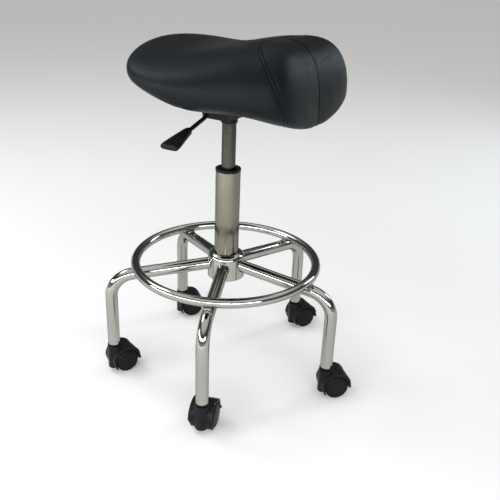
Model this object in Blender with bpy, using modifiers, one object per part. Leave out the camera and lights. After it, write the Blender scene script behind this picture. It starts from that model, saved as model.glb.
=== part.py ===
"""Saddle stool for a dentist: five-leg chrome base on twin-wheel casters, gas lift and upholstered saddle seat.

Metres, +Z up. The floor is z = 0 and the seat's front points along -Y. Pieces are laid out round the column's
axis, and the stool_frame empty moves them together so that the whole stool's box is centred over the origin.
"""

import math

import bmesh
import bpy
from mathutils import Matrix, Vector

# Where the column's axis stands, so that the stool's box is centred over the origin
COLUMN_X, COLUMN_Y = -0.0275, 0.0284

GAP = 0.0003
MERGE = 0.00001

# Base
LEG_COUNT = 5
FIRST_LEG = math.radians(-83.5)  # direction of the first leg
LEG_REACH = 0.2403
LEG_RADIUS = 0.0127
LEG_WALL = 0.0015
LEG_END = 0.0688  # height of the tube's lower end
BEND_RADIUS = 0.050
BEND_STEPS = 6
ARM_SLOPE = math.radians(6.26)
ARM_START = 0.0336  # from the column's axis to the arm's inner end
ARM_START_HEIGHT = 0.2500
RING_RADIUS = 0.1882
RING_TUBE_RADIUS = 0.0095
RING_HEIGHT = 0.2557
SKIRT_RADIUS = 0.0385
SKIRT_BOTTOM, SKIRT_TOP = 0.2222, 0.2640
DOME_RADIUS = 0.0130
SHEET = 0.0015
DOME_STEPS = 3
ARM_CLEARANCE = 0.0008  # round each arm where it comes through the skirt
RECEIVER_BORE, RECEIVER_RADIUS = 0.0256, 0.0312
RECEIVER_BOTTOM, RECEIVER_TOP = 0.2240, 0.2700

# Column
OUTER_TUBE_RADIUS, OUTER_TUBE_BORE = 0.0250, 0.0232
COLUMN_BOTTOM, COLUMN_TOP = 0.2228, 0.4520
COLUMN_FLOOR = 0.0030  # thickness of the closed lower end
LIFT_RADIUS, LIFT_BORE = 0.0140, 0.0125
LIFT_BOTTOM, LIFT_TOP = 0.3450, 0.5800
ROD_RADIUS, ROD_BORE = 0.0050, 0.0056
ROD_BOTTOM, ROD_TOP = 0.2190, 0.4650
PISTON_RADIUS, PISTON_LENGTH = 0.0121, 0.0100
BUSHING_RADIUS, BUSHING_SLEEVE, BUSHING_BORE = 0.0256, 0.0226, 0.0145
BUSHING_BOTTOM, BUSHING_LIP = 0.4050, 0.0052  # lower end of the sleeve, and height of the collar
BEARING_RADIUS, BEARING_HEIGHT = 0.0110, 0.0042
BUMPER_RADIUS, BUMPER_HEIGHT = 0.0140, 0.0150
CLIP_RADIUS, CLIP_THICKNESS = 0.0090, 0.0020
GUIDE_LENGTH = 0.0120
VALVE_LENGTH, VALVE_BORE = 0.0220, 0.0034
PIN_TOP, PIN_LENGTH = 0.5850, 0.0230  # the lift's release pin, whose button stands 2.5 mm clear of its travel
BUTTON_RADIUS, BUTTON_HEIGHT = 0.0042, 0.0020

# Casters, measured from the stem's axis
TRAIL = 0.0200
TRAIL_TURNS = (-44.3, -30.2, -37.9, -21.0, 17.5)  # degrees: how each caster happens to stand
WHEEL_RADIUS = 0.0250
WHEEL_INNER, WHEEL_OUTER = 0.0074, 0.0245  # the wheel's two faces, from the caster's middle plane
HOOD_RADIUS, HOOD_RISE = 0.0310, 0.0030  # the hood's arc and how far above the axle it is centred
HOOD_HALF_WIDTH = 0.0228
WEB_HALF_WIDTH = 0.0068
WELL_RADIUS = 0.0263
BOSS_RADIUS, BOSS_BOTTOM, BOSS_TOP = 0.0145, 0.0100, 0.0630
HOOD_MOUTH = 0.0180  # height of the hood's lower edge under the axle, and how much it tilts
HOOD_TILT = math.radians(-13)
STEM_RADIUS, STEM_BORE = 0.0055, 0.0059
STEM_BOTTOM, STEM_TOP = 0.0225, 0.1000
AXLE_RADIUS, AXLE_BORE = 0.0030, 0.0034
BORE_DEPTH, AXLE_END_GAP = 0.0120, 0.0008  # the wheel's blind bore, and the room past the axle's end
SOCKET_FLANGE, SOCKET_FLANGE_THICKNESS = 0.0136, 0.0027
SLEEVE_RADIUS, SLEEVE_TOP = 0.0102, 0.1050

# Seat
SEAT_AHEAD = 0.0184  # the saddle's middle is this far in front of the column
SEAT_HALF_LENGTH = 0.1742
BOARD_BOTTOM, BOARD_TOP = 0.6000, 0.6116
BOARD_HALF_X, BOARD_HALF_Y = 0.100, 0.085
BOARD_CORNER = 0.030
BOARD_AHEAD = 0.025
POCKET_ROOF = 0.6120  # roof of the pocket that the board sits in
UNDERSIDE = 0.6040  # the saddle's flat underside round the board
FLAT_REACH, CURVE_REACH = 1.35, 1.90  # in board half-sizes: where the flat underside ends and the curve begins
PLATE_SHEET = 0.0026
PLATE_HALF_X, PLATE_HALF_Y = 0.080, 0.058
BOX_HALF_X, BOX_HALF_Y = 0.052, 0.032
BOX_BOTTOM = 0.5625
BOX_DRAW = 0.0040  # how far the pressed box's sides are drawn in
SOCKET_RADIUS, SOCKET_BOTTOM, SOCKET_TOP = 0.0165, 0.5490, 0.5780
BOLT_X, BOLT_Y = 0.067, 0.044
BOLT_RADIUS, BOLT_HEAD_RADIUS, BOLT_HEAD_HEIGHT = 0.0030, 0.0062, 0.0043

# Lever
LEVER_TURN = math.radians(184)  # towards the user's right
LEVER_RADIUS = 0.0038
LEVER_HEIGHT = 0.5893
LEVER_PIVOT = 0.0350  # from the column's axis
PADDLE_START, PADDLE_END = 0.140, 0.203
PIVOT_RADIUS, PIVOT_BORE = 0.0015, 0.0019
EAR_FACE, EAR_THICKNESS = 0.0062, 0.0022  # the bracket's ears, from the lever's middle plane
EAR_TOP = 0.5975
SLOT_HALF_WIDTH, SLOT_BELOW, SLOT_ABOVE = 0.0065, 0.0095, 0.0070  # the plate's slot round the rod

CHROME = ((0.74, 0.74, 0.75), 0.08, 1.0)
STEEL = ((0.50, 0.50, 0.52), 0.30, 1.0)
BLACK_STEEL = ((0.02, 0.02, 0.022), 0.40, 0.3)
BLACK_PLASTIC = ((0.016, 0.016, 0.018), 0.42, 0.0)
RUBBER = ((0.03, 0.03, 0.03), 0.75, 0.0)
VINYL = ((0.012, 0.014, 0.017), 0.38, 0.0)
PLYWOOD = ((0.045, 0.038, 0.032), 0.65, 0.0)


def new_collection(name):
    made = bpy.data.collections.new(name)
    bpy.context.scene.collection.children.link(made)
    return made


def clear_scene():
    for obj in list(bpy.data.objects):
        bpy.data.objects.remove(obj, do_unlink=True)


clear_scene()
STOOL = new_collection("dentist_stool")
CUTTERS = new_collection("cutters")


def new_material(name, look):
    colour, roughness, metallic = look
    made = bpy.data.materials.new(name)
    made.use_nodes = True
    shader = made.node_tree.nodes["Principled BSDF"]
    shader.inputs["Base Color"].default_value = (*colour, 1)
    shader.inputs["Roughness"].default_value = roughness
    shader.inputs["Metallic"].default_value = metallic
    return made


def add_empty(name, parent=None, location=(0, 0, 0), turn=0.0):
    """An empty on a joint's axis, or the frame of a group of pieces."""
    made = bpy.data.objects.new(name, None)
    STOOL.objects.link(made)
    made.parent = parent
    made.location = location
    made.rotation_euler.z = turn
    return made


def add_piece(name, mesh, look, parent):
    """One sub-part with its own material."""
    made = bpy.data.objects.new(name, mesh)
    STOOL.objects.link(made)
    made.parent = parent
    made.data.materials.clear()
    made.data.materials.append(new_material(name, look))
    return made


def add_cutter(name, mesh, parent):
    made = bpy.data.objects.new(name, mesh)
    CUTTERS.objects.link(made)
    made.parent = parent
    made.hide_render = True
    made.display_type = "WIRE"
    return made


def cylinder_mesh(name, radius, low, high, sides, axis="Z"):
    """A closed cylinder between two positions along an axis."""
    bm = bmesh.new()
    bmesh.ops.create_cone(bm, cap_ends=True, segments=sides, radius1=radius, radius2=radius, depth=high - low)
    bmesh.ops.translate(bm, verts=bm.verts, vec=(0, 0, (low + high) / 2))
    if axis == "Y":
        bmesh.ops.rotate(bm, verts=bm.verts, matrix=Matrix.Rotation(-math.pi / 2, 3, "X"))
    if axis == "X":
        bmesh.ops.rotate(bm, verts=bm.verts, matrix=Matrix.Rotation(math.pi / 2, 3, "Y"))
    mesh = bpy.data.meshes.new(name)
    bm.to_mesh(mesh)
    bm.free()
    mesh.shade_smooth()
    mesh.set_sharp_from_angle(angle=math.radians(40))
    return mesh


def box_mesh(name, low, high):
    bm = bmesh.new()
    bmesh.ops.create_cube(bm, size=1)
    low, high = Vector(low), Vector(high)
    bmesh.ops.scale(bm, verts=bm.verts, vec=high - low)
    bmesh.ops.translate(bm, verts=bm.verts, vec=(low + high) / 2)
    mesh = bpy.data.meshes.new(name)
    bm.to_mesh(mesh)
    bm.free()
    return mesh


def profile_mesh(name, profile, closed):
    """A line of points (distance from the axis, height), running down the outer side."""
    edges = [(i, i + 1) for i in range(len(profile) - 1)]
    if closed:
        edges.append((len(profile) - 1, 0))
    mesh = bpy.data.meshes.new(name)
    mesh.from_pydata([(r, 0, z) for r, z in profile], edges, [])
    return mesh


def turn_piece(name, profile, steps, look, parent, closed=True):
    """A turned piece: a ring where the profile is closed, else a solid that starts and ends on the axis."""
    made = add_piece(name, profile_mesh(name, profile, closed), look, parent)
    screw = made.modifiers.new("turn", "SCREW")
    screw.steps = screw.render_steps = steps
    screw.use_merge_vertices = True
    screw.merge_threshold = MERGE
    screw.use_smooth_shade = True
    return made


def difference(target, cutter):
    cut = target.modifiers.new("cut", "BOOLEAN")
    cut.operation = "DIFFERENCE"
    cut.object = cutter


def unite(target, cutter):
    join = target.modifiers.new("join", "BOOLEAN")
    join.operation = "UNION"
    join.object = cutter


def applied_mesh(obj):
    """The object's shape with its modifiers applied, as a mesh of its own."""
    bpy.context.view_layer.update()
    depsgraph = bpy.context.evaluated_depsgraph_get()
    return bpy.data.meshes.new_from_object(obj.evaluated_get(depsgraph))


def ring_profile(outer, inner, low, high):
    return [(outer, high), (outer, low), (inner, low), (inner, high)]


def bent_tube_mesh(name, points, radius, bevel_resolution, caps):
    """A round bar or an open tube along a line of points."""
    curve = bpy.data.curves.new(name, "CURVE")
    curve.dimensions = "3D"
    curve.bevel_depth = radius
    curve.bevel_resolution = bevel_resolution
    curve.use_fill_caps = caps
    spline = curve.splines.new("POLY")
    spline.points.add(len(points) - 1)
    for target, point in zip(spline.points, points):
        target.co = (*point, 1)
    holder = bpy.data.objects.new(name, curve)
    CUTTERS.objects.link(holder)
    holder.hide_render = True
    mesh = applied_mesh(holder)
    bpy.data.objects.remove(holder)
    bm = bmesh.new()
    bm.from_mesh(mesh)
    bmesh.ops.remove_doubles(bm, verts=bm.verts, dist=MERGE)
    bm.to_mesh(mesh)
    bm.free()
    mesh.shade_smooth()
    mesh.set_sharp_from_angle(angle=math.radians(40))
    return mesh


# Base: hub, legs and foot ring


def leg_points():
    """The leg's centre line, outwards along X: a sloping arm, the bend, and the upright."""
    centre_x = LEG_REACH - BEND_RADIUS
    bend_x = centre_x + BEND_RADIUS * math.sin(ARM_SLOPE)
    bend_z = ARM_START_HEIGHT - (bend_x - ARM_START) * math.tan(ARM_SLOPE)
    centre_z = bend_z - BEND_RADIUS * math.cos(ARM_SLOPE)
    points = [(ARM_START, 0, ARM_START_HEIGHT)]
    for step in range(BEND_STEPS + 1):
        turn = ARM_SLOPE + (math.pi / 2 - ARM_SLOPE) * step / BEND_STEPS
        points.append((centre_x + BEND_RADIUS * math.sin(turn), 0, centre_z + BEND_RADIUS * math.cos(turn)))
    points.append((LEG_REACH, 0, LEG_END))
    return points


def make_legs(base):
    mesh = bent_tube_mesh("leg", leg_points(), LEG_RADIUS, 4, False)
    frames = []
    for number in range(LEG_COUNT):
        turn = FIRST_LEG + 2 * math.pi * number / LEG_COUNT
        frame = add_empty(f"leg_frame_{number + 1}", base, turn=turn)
        leg = add_piece(f"leg_{number + 1}", mesh.copy(), CHROME, frame)
        wall = leg.modifiers.new("wall", "SOLIDIFY")
        wall.thickness = LEG_WALL
        wall.offset = -1
        frames.append(frame)
    return frames


def make_hub(base, leg_frames):
    receiver = ring_profile(RECEIVER_RADIUS, RECEIVER_BORE, RECEIVER_BOTTOM, RECEIVER_TOP)
    turn_piece("hub_receiver", receiver, 24, STEEL, base)
    dome_centre = SKIRT_RADIUS - DOME_RADIUS
    dome = []
    for step in range(DOME_STEPS + 1):
        angle = math.pi / 2 * (1 - step / DOME_STEPS)
        dome.append((dome_centre + DOME_RADIUS * math.cos(angle), SKIRT_TOP + DOME_RADIUS * math.sin(angle)))
    dome[0] = (OUTER_TUBE_RADIUS + 2 * GAP + SHEET / 2, dome[0][1])
    cover = turn_piece("hub_cover", dome + [(SKIRT_RADIUS, SKIRT_BOTTOM)], 30, CHROME, base, closed=False)
    shell = cover.modifiers.new("shell", "SOLIDIFY")
    shell.thickness = SHEET
    shell.offset = -1
    hole = cylinder_mesh("arm_hole", LEG_RADIUS + ARM_CLEARANCE, 0.030, 0.060, 16, axis="X")
    for number, frame in enumerate(leg_frames):
        cutter = add_cutter(f"arm_hole_{number + 1}", hole, frame)
        cutter.location.z = ARM_START_HEIGHT + ARM_START * math.tan(ARM_SLOPE)
        cutter.rotation_euler.y = ARM_SLOPE
        difference(cover, cutter)


def make_foot_ring(base):
    bpy.ops.mesh.primitive_torus_add(
        major_radius=RING_RADIUS, minor_radius=RING_TUBE_RADIUS, major_segments=40, minor_segments=10
    )
    made = bpy.context.object
    made.data.shade_smooth()
    mesh = made.data
    bpy.data.objects.remove(made)
    ring = add_piece("foot_ring", mesh, CHROME, base)
    ring.location.z = RING_HEIGHT


# Column and gas lift


def make_column(base, rod_body, seat_body):
    floor = COLUMN_BOTTOM + COLUMN_FLOOR
    outer = [
        (OUTER_TUBE_RADIUS, COLUMN_TOP),
        (OUTER_TUBE_RADIUS, COLUMN_BOTTOM),
        (ROD_BORE, COLUMN_BOTTOM),
        (ROD_BORE, floor),
        (OUTER_TUBE_BORE, floor),
        (OUTER_TUBE_BORE, COLUMN_TOP),
    ]
    turn_piece("outer_tube", outer, 28, CHROME, base)
    lip = COLUMN_TOP + GAP
    bushing = [
        (BUSHING_RADIUS - 0.0006, lip + BUSHING_LIP),
        (BUSHING_RADIUS, lip + BUSHING_LIP - 0.0008),
        (BUSHING_RADIUS, lip),
        (BUSHING_SLEEVE, lip),
        (BUSHING_SLEEVE, BUSHING_BOTTOM),
        (BUSHING_BORE, BUSHING_BOTTOM),
        (BUSHING_BORE, lip + 0.0015),
        (BUSHING_BORE + 0.0035, lip + 0.0030),
        (BUSHING_SLEEVE, lip + BUSHING_LIP),
    ]
    turn_piece("guide_bushing", bushing, 28, BLACK_PLASTIC, base)
    piston = [
        (0, ROD_TOP),
        (PISTON_RADIUS, ROD_TOP),
        (PISTON_RADIUS, ROD_TOP - PISTON_LENGTH),
        (ROD_RADIUS, ROD_TOP - PISTON_LENGTH),
        (ROD_RADIUS, ROD_BOTTOM),
        (0, ROD_BOTTOM),
    ]
    turn_piece("piston_rod", piston, 16, STEEL, rod_body, closed=False)
    bearing_top = floor + GAP + BEARING_HEIGHT
    bearing = ring_profile(BEARING_RADIUS, ROD_BORE, floor + GAP, bearing_top)
    turn_piece("thrust_bearing", bearing, 16, STEEL, rod_body)
    bumper = ring_profile(BUMPER_RADIUS, ROD_BORE, bearing_top + GAP, bearing_top + GAP + BUMPER_HEIGHT)
    turn_piece("rubber_bumper", bumper, 16, RUBBER, rod_body)
    clip_top = COLUMN_BOTTOM - GAP
    clip = ring_profile(CLIP_RADIUS, ROD_BORE, clip_top - CLIP_THICKNESS, clip_top)
    turn_piece("retaining_clip", clip, 16, STEEL, rod_body)
    lift = [
        (LIFT_RADIUS - 0.0006, LIFT_TOP),
        (LIFT_RADIUS, SOCKET_BOTTOM - 0.002),
        (LIFT_RADIUS, LIFT_BOTTOM),
        (LIFT_BORE, LIFT_BOTTOM),
        (LIFT_BORE, LIFT_TOP),
    ]
    turn_piece("pressure_tube", lift, 24, CHROME, seat_body)
    guide = ring_profile(PISTON_RADIUS, ROD_BORE, LIFT_BOTTOM + GAP, LIFT_BOTTOM + GUIDE_LENGTH)
    turn_piece("rod_guide", guide, 16, BLACK_PLASTIC, seat_body)
    valve = ring_profile(PISTON_RADIUS, VALVE_BORE, LIFT_TOP - VALVE_LENGTH, LIFT_TOP - GAP)
    turn_piece("valve_body", valve, 16, STEEL, seat_body)


def make_release_pin(pin_frame):
    """The pin's button, and its shank down into the valve."""
    shank_radius = VALVE_BORE - 0.0004
    profile = [
        (0, 0),
        (BUTTON_RADIUS, 0),
        (BUTTON_RADIUS, -BUTTON_HEIGHT),
        (shank_radius, -BUTTON_HEIGHT),
        (shank_radius, -PIN_LENGTH),
        (0, -PIN_LENGTH),
    ]
    turn_piece("release_pin", profile, 12, STEEL, pin_frame, closed=False)


def make_taper_socket(seat_body):
    socket = ring_profile(SOCKET_RADIUS, LIFT_RADIUS + GAP, SOCKET_BOTTOM, SOCKET_TOP)
    turn_piece("taper_socket", socket, 24, BLACK_STEEL, seat_body)


# Seat mechanism


def drawn_box_mesh(name, half_x, half_y, low, high):
    """A box whose sides are drawn in towards its lower face."""
    mesh = box_mesh(name, (-half_x, -half_y, low), (half_x, half_y, high))
    for vert in mesh.vertices:
        if vert.co.z < (low + high) / 2:
            vert.co.x -= math.copysign(BOX_DRAW, vert.co.x)
            vert.co.y -= math.copysign(BOX_DRAW, vert.co.y)
    return mesh


def make_seat_plate(seat_body):
    """A pressed plate: a flange under the board round a box that hangs down."""
    top = BOARD_BOTTOM - GAP
    under = top - PLATE_SHEET
    flange = box_mesh("seat_plate", (-PLATE_HALF_X, -PLATE_HALF_Y, under), (PLATE_HALF_X, PLATE_HALF_Y, top))
    plate = add_piece("seat_plate", flange, BLACK_STEEL, seat_body)
    outer = drawn_box_mesh("box_outer", BOX_HALF_X, BOX_HALF_Y, BOX_BOTTOM, (under + top) / 2)
    unite(plate, add_cutter("box_outer", outer, seat_body))
    half_x, half_y = BOX_HALF_X - PLATE_SHEET, BOX_HALF_Y - PLATE_SHEET
    inner = drawn_box_mesh("box_inner", half_x, half_y, BOX_BOTTOM + PLATE_SHEET, top + PLATE_SHEET)
    difference(plate, add_cutter("box_inner", inner, seat_body))
    hole = add_cutter(
        "socket_hole", cylinder_mesh("socket_hole", SOCKET_RADIUS + 2 * GAP, 0.55, 0.57, 24), seat_body
    )
    difference(plate, hole)
    slot = box_mesh(
        "lever_slot",
        (0.040, -SLOT_HALF_WIDTH, LEVER_HEIGHT - SLOT_BELOW),
        (0.062, SLOT_HALF_WIDTH, LEVER_HEIGHT + SLOT_ABOVE),
    )
    slot_cutter = add_cutter("lever_slot", slot, seat_body)
    slot_cutter.rotation_euler.z = LEVER_TURN
    difference(plate, slot_cutter)
    return plate


def make_seat_board(seat_body):
    """Moulded ply: a rounded rectangle."""
    curve = bpy.data.curves.new("seat_board", "CURVE")
    curve.dimensions = "2D"
    curve.fill_mode = "BOTH"
    curve.extrude = (BOARD_TOP - BOARD_BOTTOM) / 2
    spline = curve.splines.new("POLY")
    points = []
    for quarter in range(4):
        sign_x = 1 if quarter in (0, 3) else -1
        sign_y = 1 if quarter in (0, 1) else -1
        for step in range(4):
            angle = math.pi / 2 * (quarter + step / 3)
            x = sign_x * (BOARD_HALF_X - BOARD_CORNER) + BOARD_CORNER * math.cos(angle)
            y = sign_y * (BOARD_HALF_Y - BOARD_CORNER) + BOARD_CORNER * math.sin(angle)
            points.append((x, y - BOARD_AHEAD))
    spline.points.add(len(points) - 1)
    for target, (x, y) in zip(spline.points, points):
        target.co = (x, y, 0, 1)
    spline.use_cyclic_u = True
    holder = bpy.data.objects.new("board_outline", curve)
    CUTTERS.objects.link(holder)
    holder.hide_render = True
    mesh = applied_mesh(holder)
    bpy.data.objects.remove(holder)
    bm = bmesh.new()
    bm.from_mesh(mesh)
    bmesh.ops.remove_doubles(bm, verts=bm.verts, dist=MERGE)
    bm.to_mesh(mesh)
    bm.free()
    board = add_piece("seat_board", mesh, PLYWOOD, seat_body)
    board.location.z = (BOARD_BOTTOM + BOARD_TOP) / 2
    return board


def make_seat_bolts(seat_body, plate, board):
    """Hex bolts up through the plate's flange into the board."""
    under = BOARD_BOTTOM - GAP - PLATE_SHEET
    head = cylinder_mesh("bolt_head", BOLT_HEAD_RADIUS, under - GAP - BOLT_HEAD_HEIGHT, under - GAP, 6)
    shank = cylinder_mesh("bolt_shank", BOLT_RADIUS, under - 0.001, BOARD_TOP - 0.002, 10)
    hole = cylinder_mesh("bolt_hole", BOLT_RADIUS + 2 * GAP, under - 0.003, BOARD_TOP - 0.001, 10)
    for number, (x, y) in enumerate(((1, 1), (-1, 1), (-1, -1), (1, -1)), start=1):
        place = (x * BOLT_X, y * BOLT_Y, 0)
        bolt = add_piece(f"seat_bolt_{number}", head.copy(), STEEL, seat_body)
        bolt.location = place
        shank_cutter = add_cutter(f"shank_{number}", shank, seat_body)
        shank_cutter.location = place
        unite(bolt, shank_cutter)
        hole_cutter = add_cutter(f"bolt_hole_{number}", hole, seat_body)
        hole_cutter.location = place
        difference(plate, hole_cutter)
        difference(board, hole_cutter)


def make_lever(seat_body):
    """A bent rod on a pivot pin between two ears, with its inner end over the release pin."""
    side = add_empty("lever_side", seat_body, turn=LEVER_TURN)
    frame = add_empty("lever_frame", side, location=(LEVER_PIVOT, 0, LEVER_HEIGHT))
    path = [
        (-0.0040, LEVER_HEIGHT),
        (0.0560, LEVER_HEIGHT),
        (0.0680, 0.5870),
        (0.0780, 0.5805),
        (0.0900, 0.5745),
        (0.1100, 0.5695),
        (0.1360, 0.5630),
        (0.1600, 0.5570),
    ]
    points = [(x - LEVER_PIVOT, 0, z - LEVER_HEIGHT) for x, z in path]
    rod = add_piece("lever_rod", bent_tube_mesh("lever_rod", points, LEVER_RADIUS, 3, True), BLACK_STEEL, frame)
    pin_hole = cylinder_mesh("pivot_hole", PIVOT_BORE, -0.008, 0.008, 10, axis="Y")
    difference(rod, add_cutter("pivot_hole", pin_hole, frame))
    make_lever_bracket(side)
    make_paddle(frame)


def make_lever_bracket(side):
    """A channel on the floor of the plate's box. Its two ears hold the lever's pivot pin."""
    floor = BOX_BOTTOM + PLATE_SHEET + GAP
    low_x, high_x = LEVER_PIVOT - 0.0080, LEVER_PIVOT + 0.0070
    half = EAR_FACE + EAR_THICKNESS
    block = box_mesh("lever_bracket", (low_x, -half, floor), (high_x, half, EAR_TOP))
    bracket = add_piece("lever_bracket", block, BLACK_STEEL, side)
    channel_low = (low_x - 0.01, -EAR_FACE, floor + EAR_THICKNESS)
    channel = box_mesh("bracket_channel", channel_low, (high_x + 0.01, EAR_FACE, EAR_TOP + 0.01))
    difference(bracket, add_cutter("bracket_channel", channel, side))
    ear_hole = add_cutter("ear_hole", cylinder_mesh("ear_hole", PIVOT_BORE, -0.012, 0.012, 10, axis="Y"), side)
    ear_hole.location = (LEVER_PIVOT, 0, LEVER_HEIGHT)
    difference(bracket, ear_hole)
    pin_mesh = cylinder_mesh("lever_pivot_pin", PIVOT_RADIUS, -half - 0.001, half + 0.001, 10, axis="Y")
    pin = add_piece("lever_pivot_pin", pin_mesh, STEEL, side)
    pin.location = (LEVER_PIVOT, 0, LEVER_HEIGHT)


# A rounded rectangle of half-width 1 and half-thickness 1
PADDLE_CORNERS = (
    (1, 0.45), (0.72, 1), (-0.72, 1), (-1, 0.45), (-1, -0.45), (-0.72, -1), (0.72, -1), (1, -0.45)
)


def paddle_section(bm, distance, height, half_width, half_thickness):
    """One rounded-rectangle section of the paddle, as a loop of vertices."""
    loop = []
    for x, z in PADDLE_CORNERS:
        loop.append(bm.verts.new((distance, x * half_width, height + z * half_thickness)))
    return loop


def make_paddle(frame):
    """A tapered blade, lofted through its sections and bored for the rod."""
    bm = bmesh.new()
    sections = (
        (PADDLE_START, 0.5618, 0.0066, 0.0062),
        (PADDLE_START + 0.012, 0.5592, 0.0085, 0.0065),
        (PADDLE_START + 0.040, 0.5520, 0.0150, 0.0055),
        (PADDLE_END - 0.006, 0.5473, 0.0180, 0.0052),
        (PADDLE_END, 0.5460, 0.0155, 0.0038),
    )
    loops = [paddle_section(bm, x - LEVER_PIVOT, z - LEVER_HEIGHT, w, t) for x, z, w, t in sections]
    for first, second in zip(loops, loops[1:]):
        for i in range(len(first)):
            j = (i + 1) % len(first)
            bm.faces.new((first[i], first[j], second[j], second[i]))
    bm.faces.new(loops[0][::-1])
    bm.faces.new(loops[-1])
    bmesh.ops.recalc_face_normals(bm, faces=bm.faces)
    mesh = bpy.data.meshes.new("lever_paddle")
    bm.to_mesh(mesh)
    bm.free()
    mesh.shade_smooth()
    mesh.set_sharp_from_angle(angle=math.radians(40))
    paddle = add_piece("lever_paddle", mesh, BLACK_PLASTIC, frame)
    bore = [(0.130, 0.56450), (0.136, 0.5630), (0.1610, 0.55675)]
    points = [(x - LEVER_PIVOT, 0, z - LEVER_HEIGHT) for x, z in bore]
    bore_mesh = bent_tube_mesh("paddle_bore", points, LEVER_RADIUS + 2 * GAP, 3, True)
    difference(paddle, add_cutter("paddle_bore", bore_mesh, frame))


# Saddle

# Five stations from the saddle's rear to its front
HALF_WIDTHS = (0.201, 0.201, 0.202, 0.182, 0.159)
RIM_HEIGHTS = (0.684, 0.652, 0.634, 0.618, 0.583)
DROOPS = (0.008, 0.002, -0.003, -0.015, -0.053)  # how far the rim falls towards the sides
CROWNS = (0.040, 0.042, 0.063, 0.105, 0.174)  # how far the top stands above the rim
BELLIES = (0.024, 0.028, 0.039, 0.030, 0.030)  # how far the underside hangs below it
# Five stations round the rim from the front to the rear: how square the upper edge is
EDGES = (2.65, 1.92, 2.31, 2.37, 2.35)
BELLY_EDGE = 3.16
OUTLINE_REAR, OUTLINE_FRONT = 2.13, 5.63  # squareness of the outline


def along(values, place, before, after):
    """A smooth line through evenly spaced values, at a place from 0 to 1."""
    line = (before, *values, after)
    scaled = min(max(place, 0.0), 0.999999) * (len(values) - 1)
    i = int(scaled)
    f = scaled - i
    a, b, c, d = line[i : i + 4]
    return b + 0.5 * f * (c - a + f * (2 * a - 5 * b + 4 * c - d + f * (3 * (b - c) + d - a)))


def station(values, x):
    """A value along the saddle, with x from -1 at the rear to 1 at the front."""
    return along(values, (x + 1) / 2, 2 * values[0] - values[1], 2 * values[-1] - values[-2])


def power(value, exponent):
    return math.copysign(abs(value) ** exponent, value)


def saddle_point(unit):
    """Where a point of the unit sphere goes on the saddle. The sphere's -Y is the saddle's front."""
    flat = math.hypot(unit.x, unit.y)
    turn = math.atan2(unit.x, -unit.y) if flat > 1e-9 else 0.0
    ahead, across = math.cos(turn), math.sin(turn)
    edge = along(EDGES, abs(turn) / math.pi, EDGES[1], EDGES[-2])
    outline = OUTLINE_REAR + (OUTLINE_FRONT - OUTLINE_REAR) * (0.5 + 0.5 * ahead)
    exponent = 2 / (edge if unit.z > 0 else BELLY_EDGE)
    spread = flat**exponent
    rise = abs(unit.z) ** exponent
    x = spread * power(ahead, 2 / outline)
    side = spread * power(across, 2 / outline)
    rim = station(RIM_HEIGHTS, x) - station(DROOPS, x) * side * side
    point = Vector((side * station(HALF_WIDTHS, x), -SEAT_AHEAD - x * SEAT_HALF_LENGTH, 0))
    if unit.z > 0:
        point.z = rim + station(CROWNS, x) * rise
        return point
    point.z = rim - station(BELLIES, x) * rise
    reach = math.hypot(point.x / BOARD_HALF_X, (point.y + BOARD_AHEAD) / BOARD_HALF_Y)
    inside = min(max((CURVE_REACH - reach) / (CURVE_REACH - FLAT_REACH), 0.0), 1.0)
    inside = inside * inside * (3 - 2 * inside)
    point.z += inside * (UNDERSIDE - point.z)
    return point


def make_cushion(seat_body):
    bm = bmesh.new()
    bmesh.ops.create_uvsphere(bm, u_segments=40, v_segments=18, radius=1)
    for vert in bm.verts:
        vert.co = saddle_point(vert.co)
    mesh = bpy.data.meshes.new("seat_cushion")
    bm.to_mesh(mesh)
    bm.free()
    mesh.shade_smooth()
    cushion = add_piece("seat_cushion", mesh, VINYL, seat_body)
    half_x, half_y = BOARD_HALF_X + 0.0010, BOARD_HALF_Y + 0.0010
    pocket = box_mesh(
        "board_pocket", (-half_x, -half_y - BOARD_AHEAD, 0.55), (half_x, half_y - BOARD_AHEAD, POCKET_ROOF)
    )
    difference(cushion, add_cutter("board_pocket", pocket, seat_body))


# Casters


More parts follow.
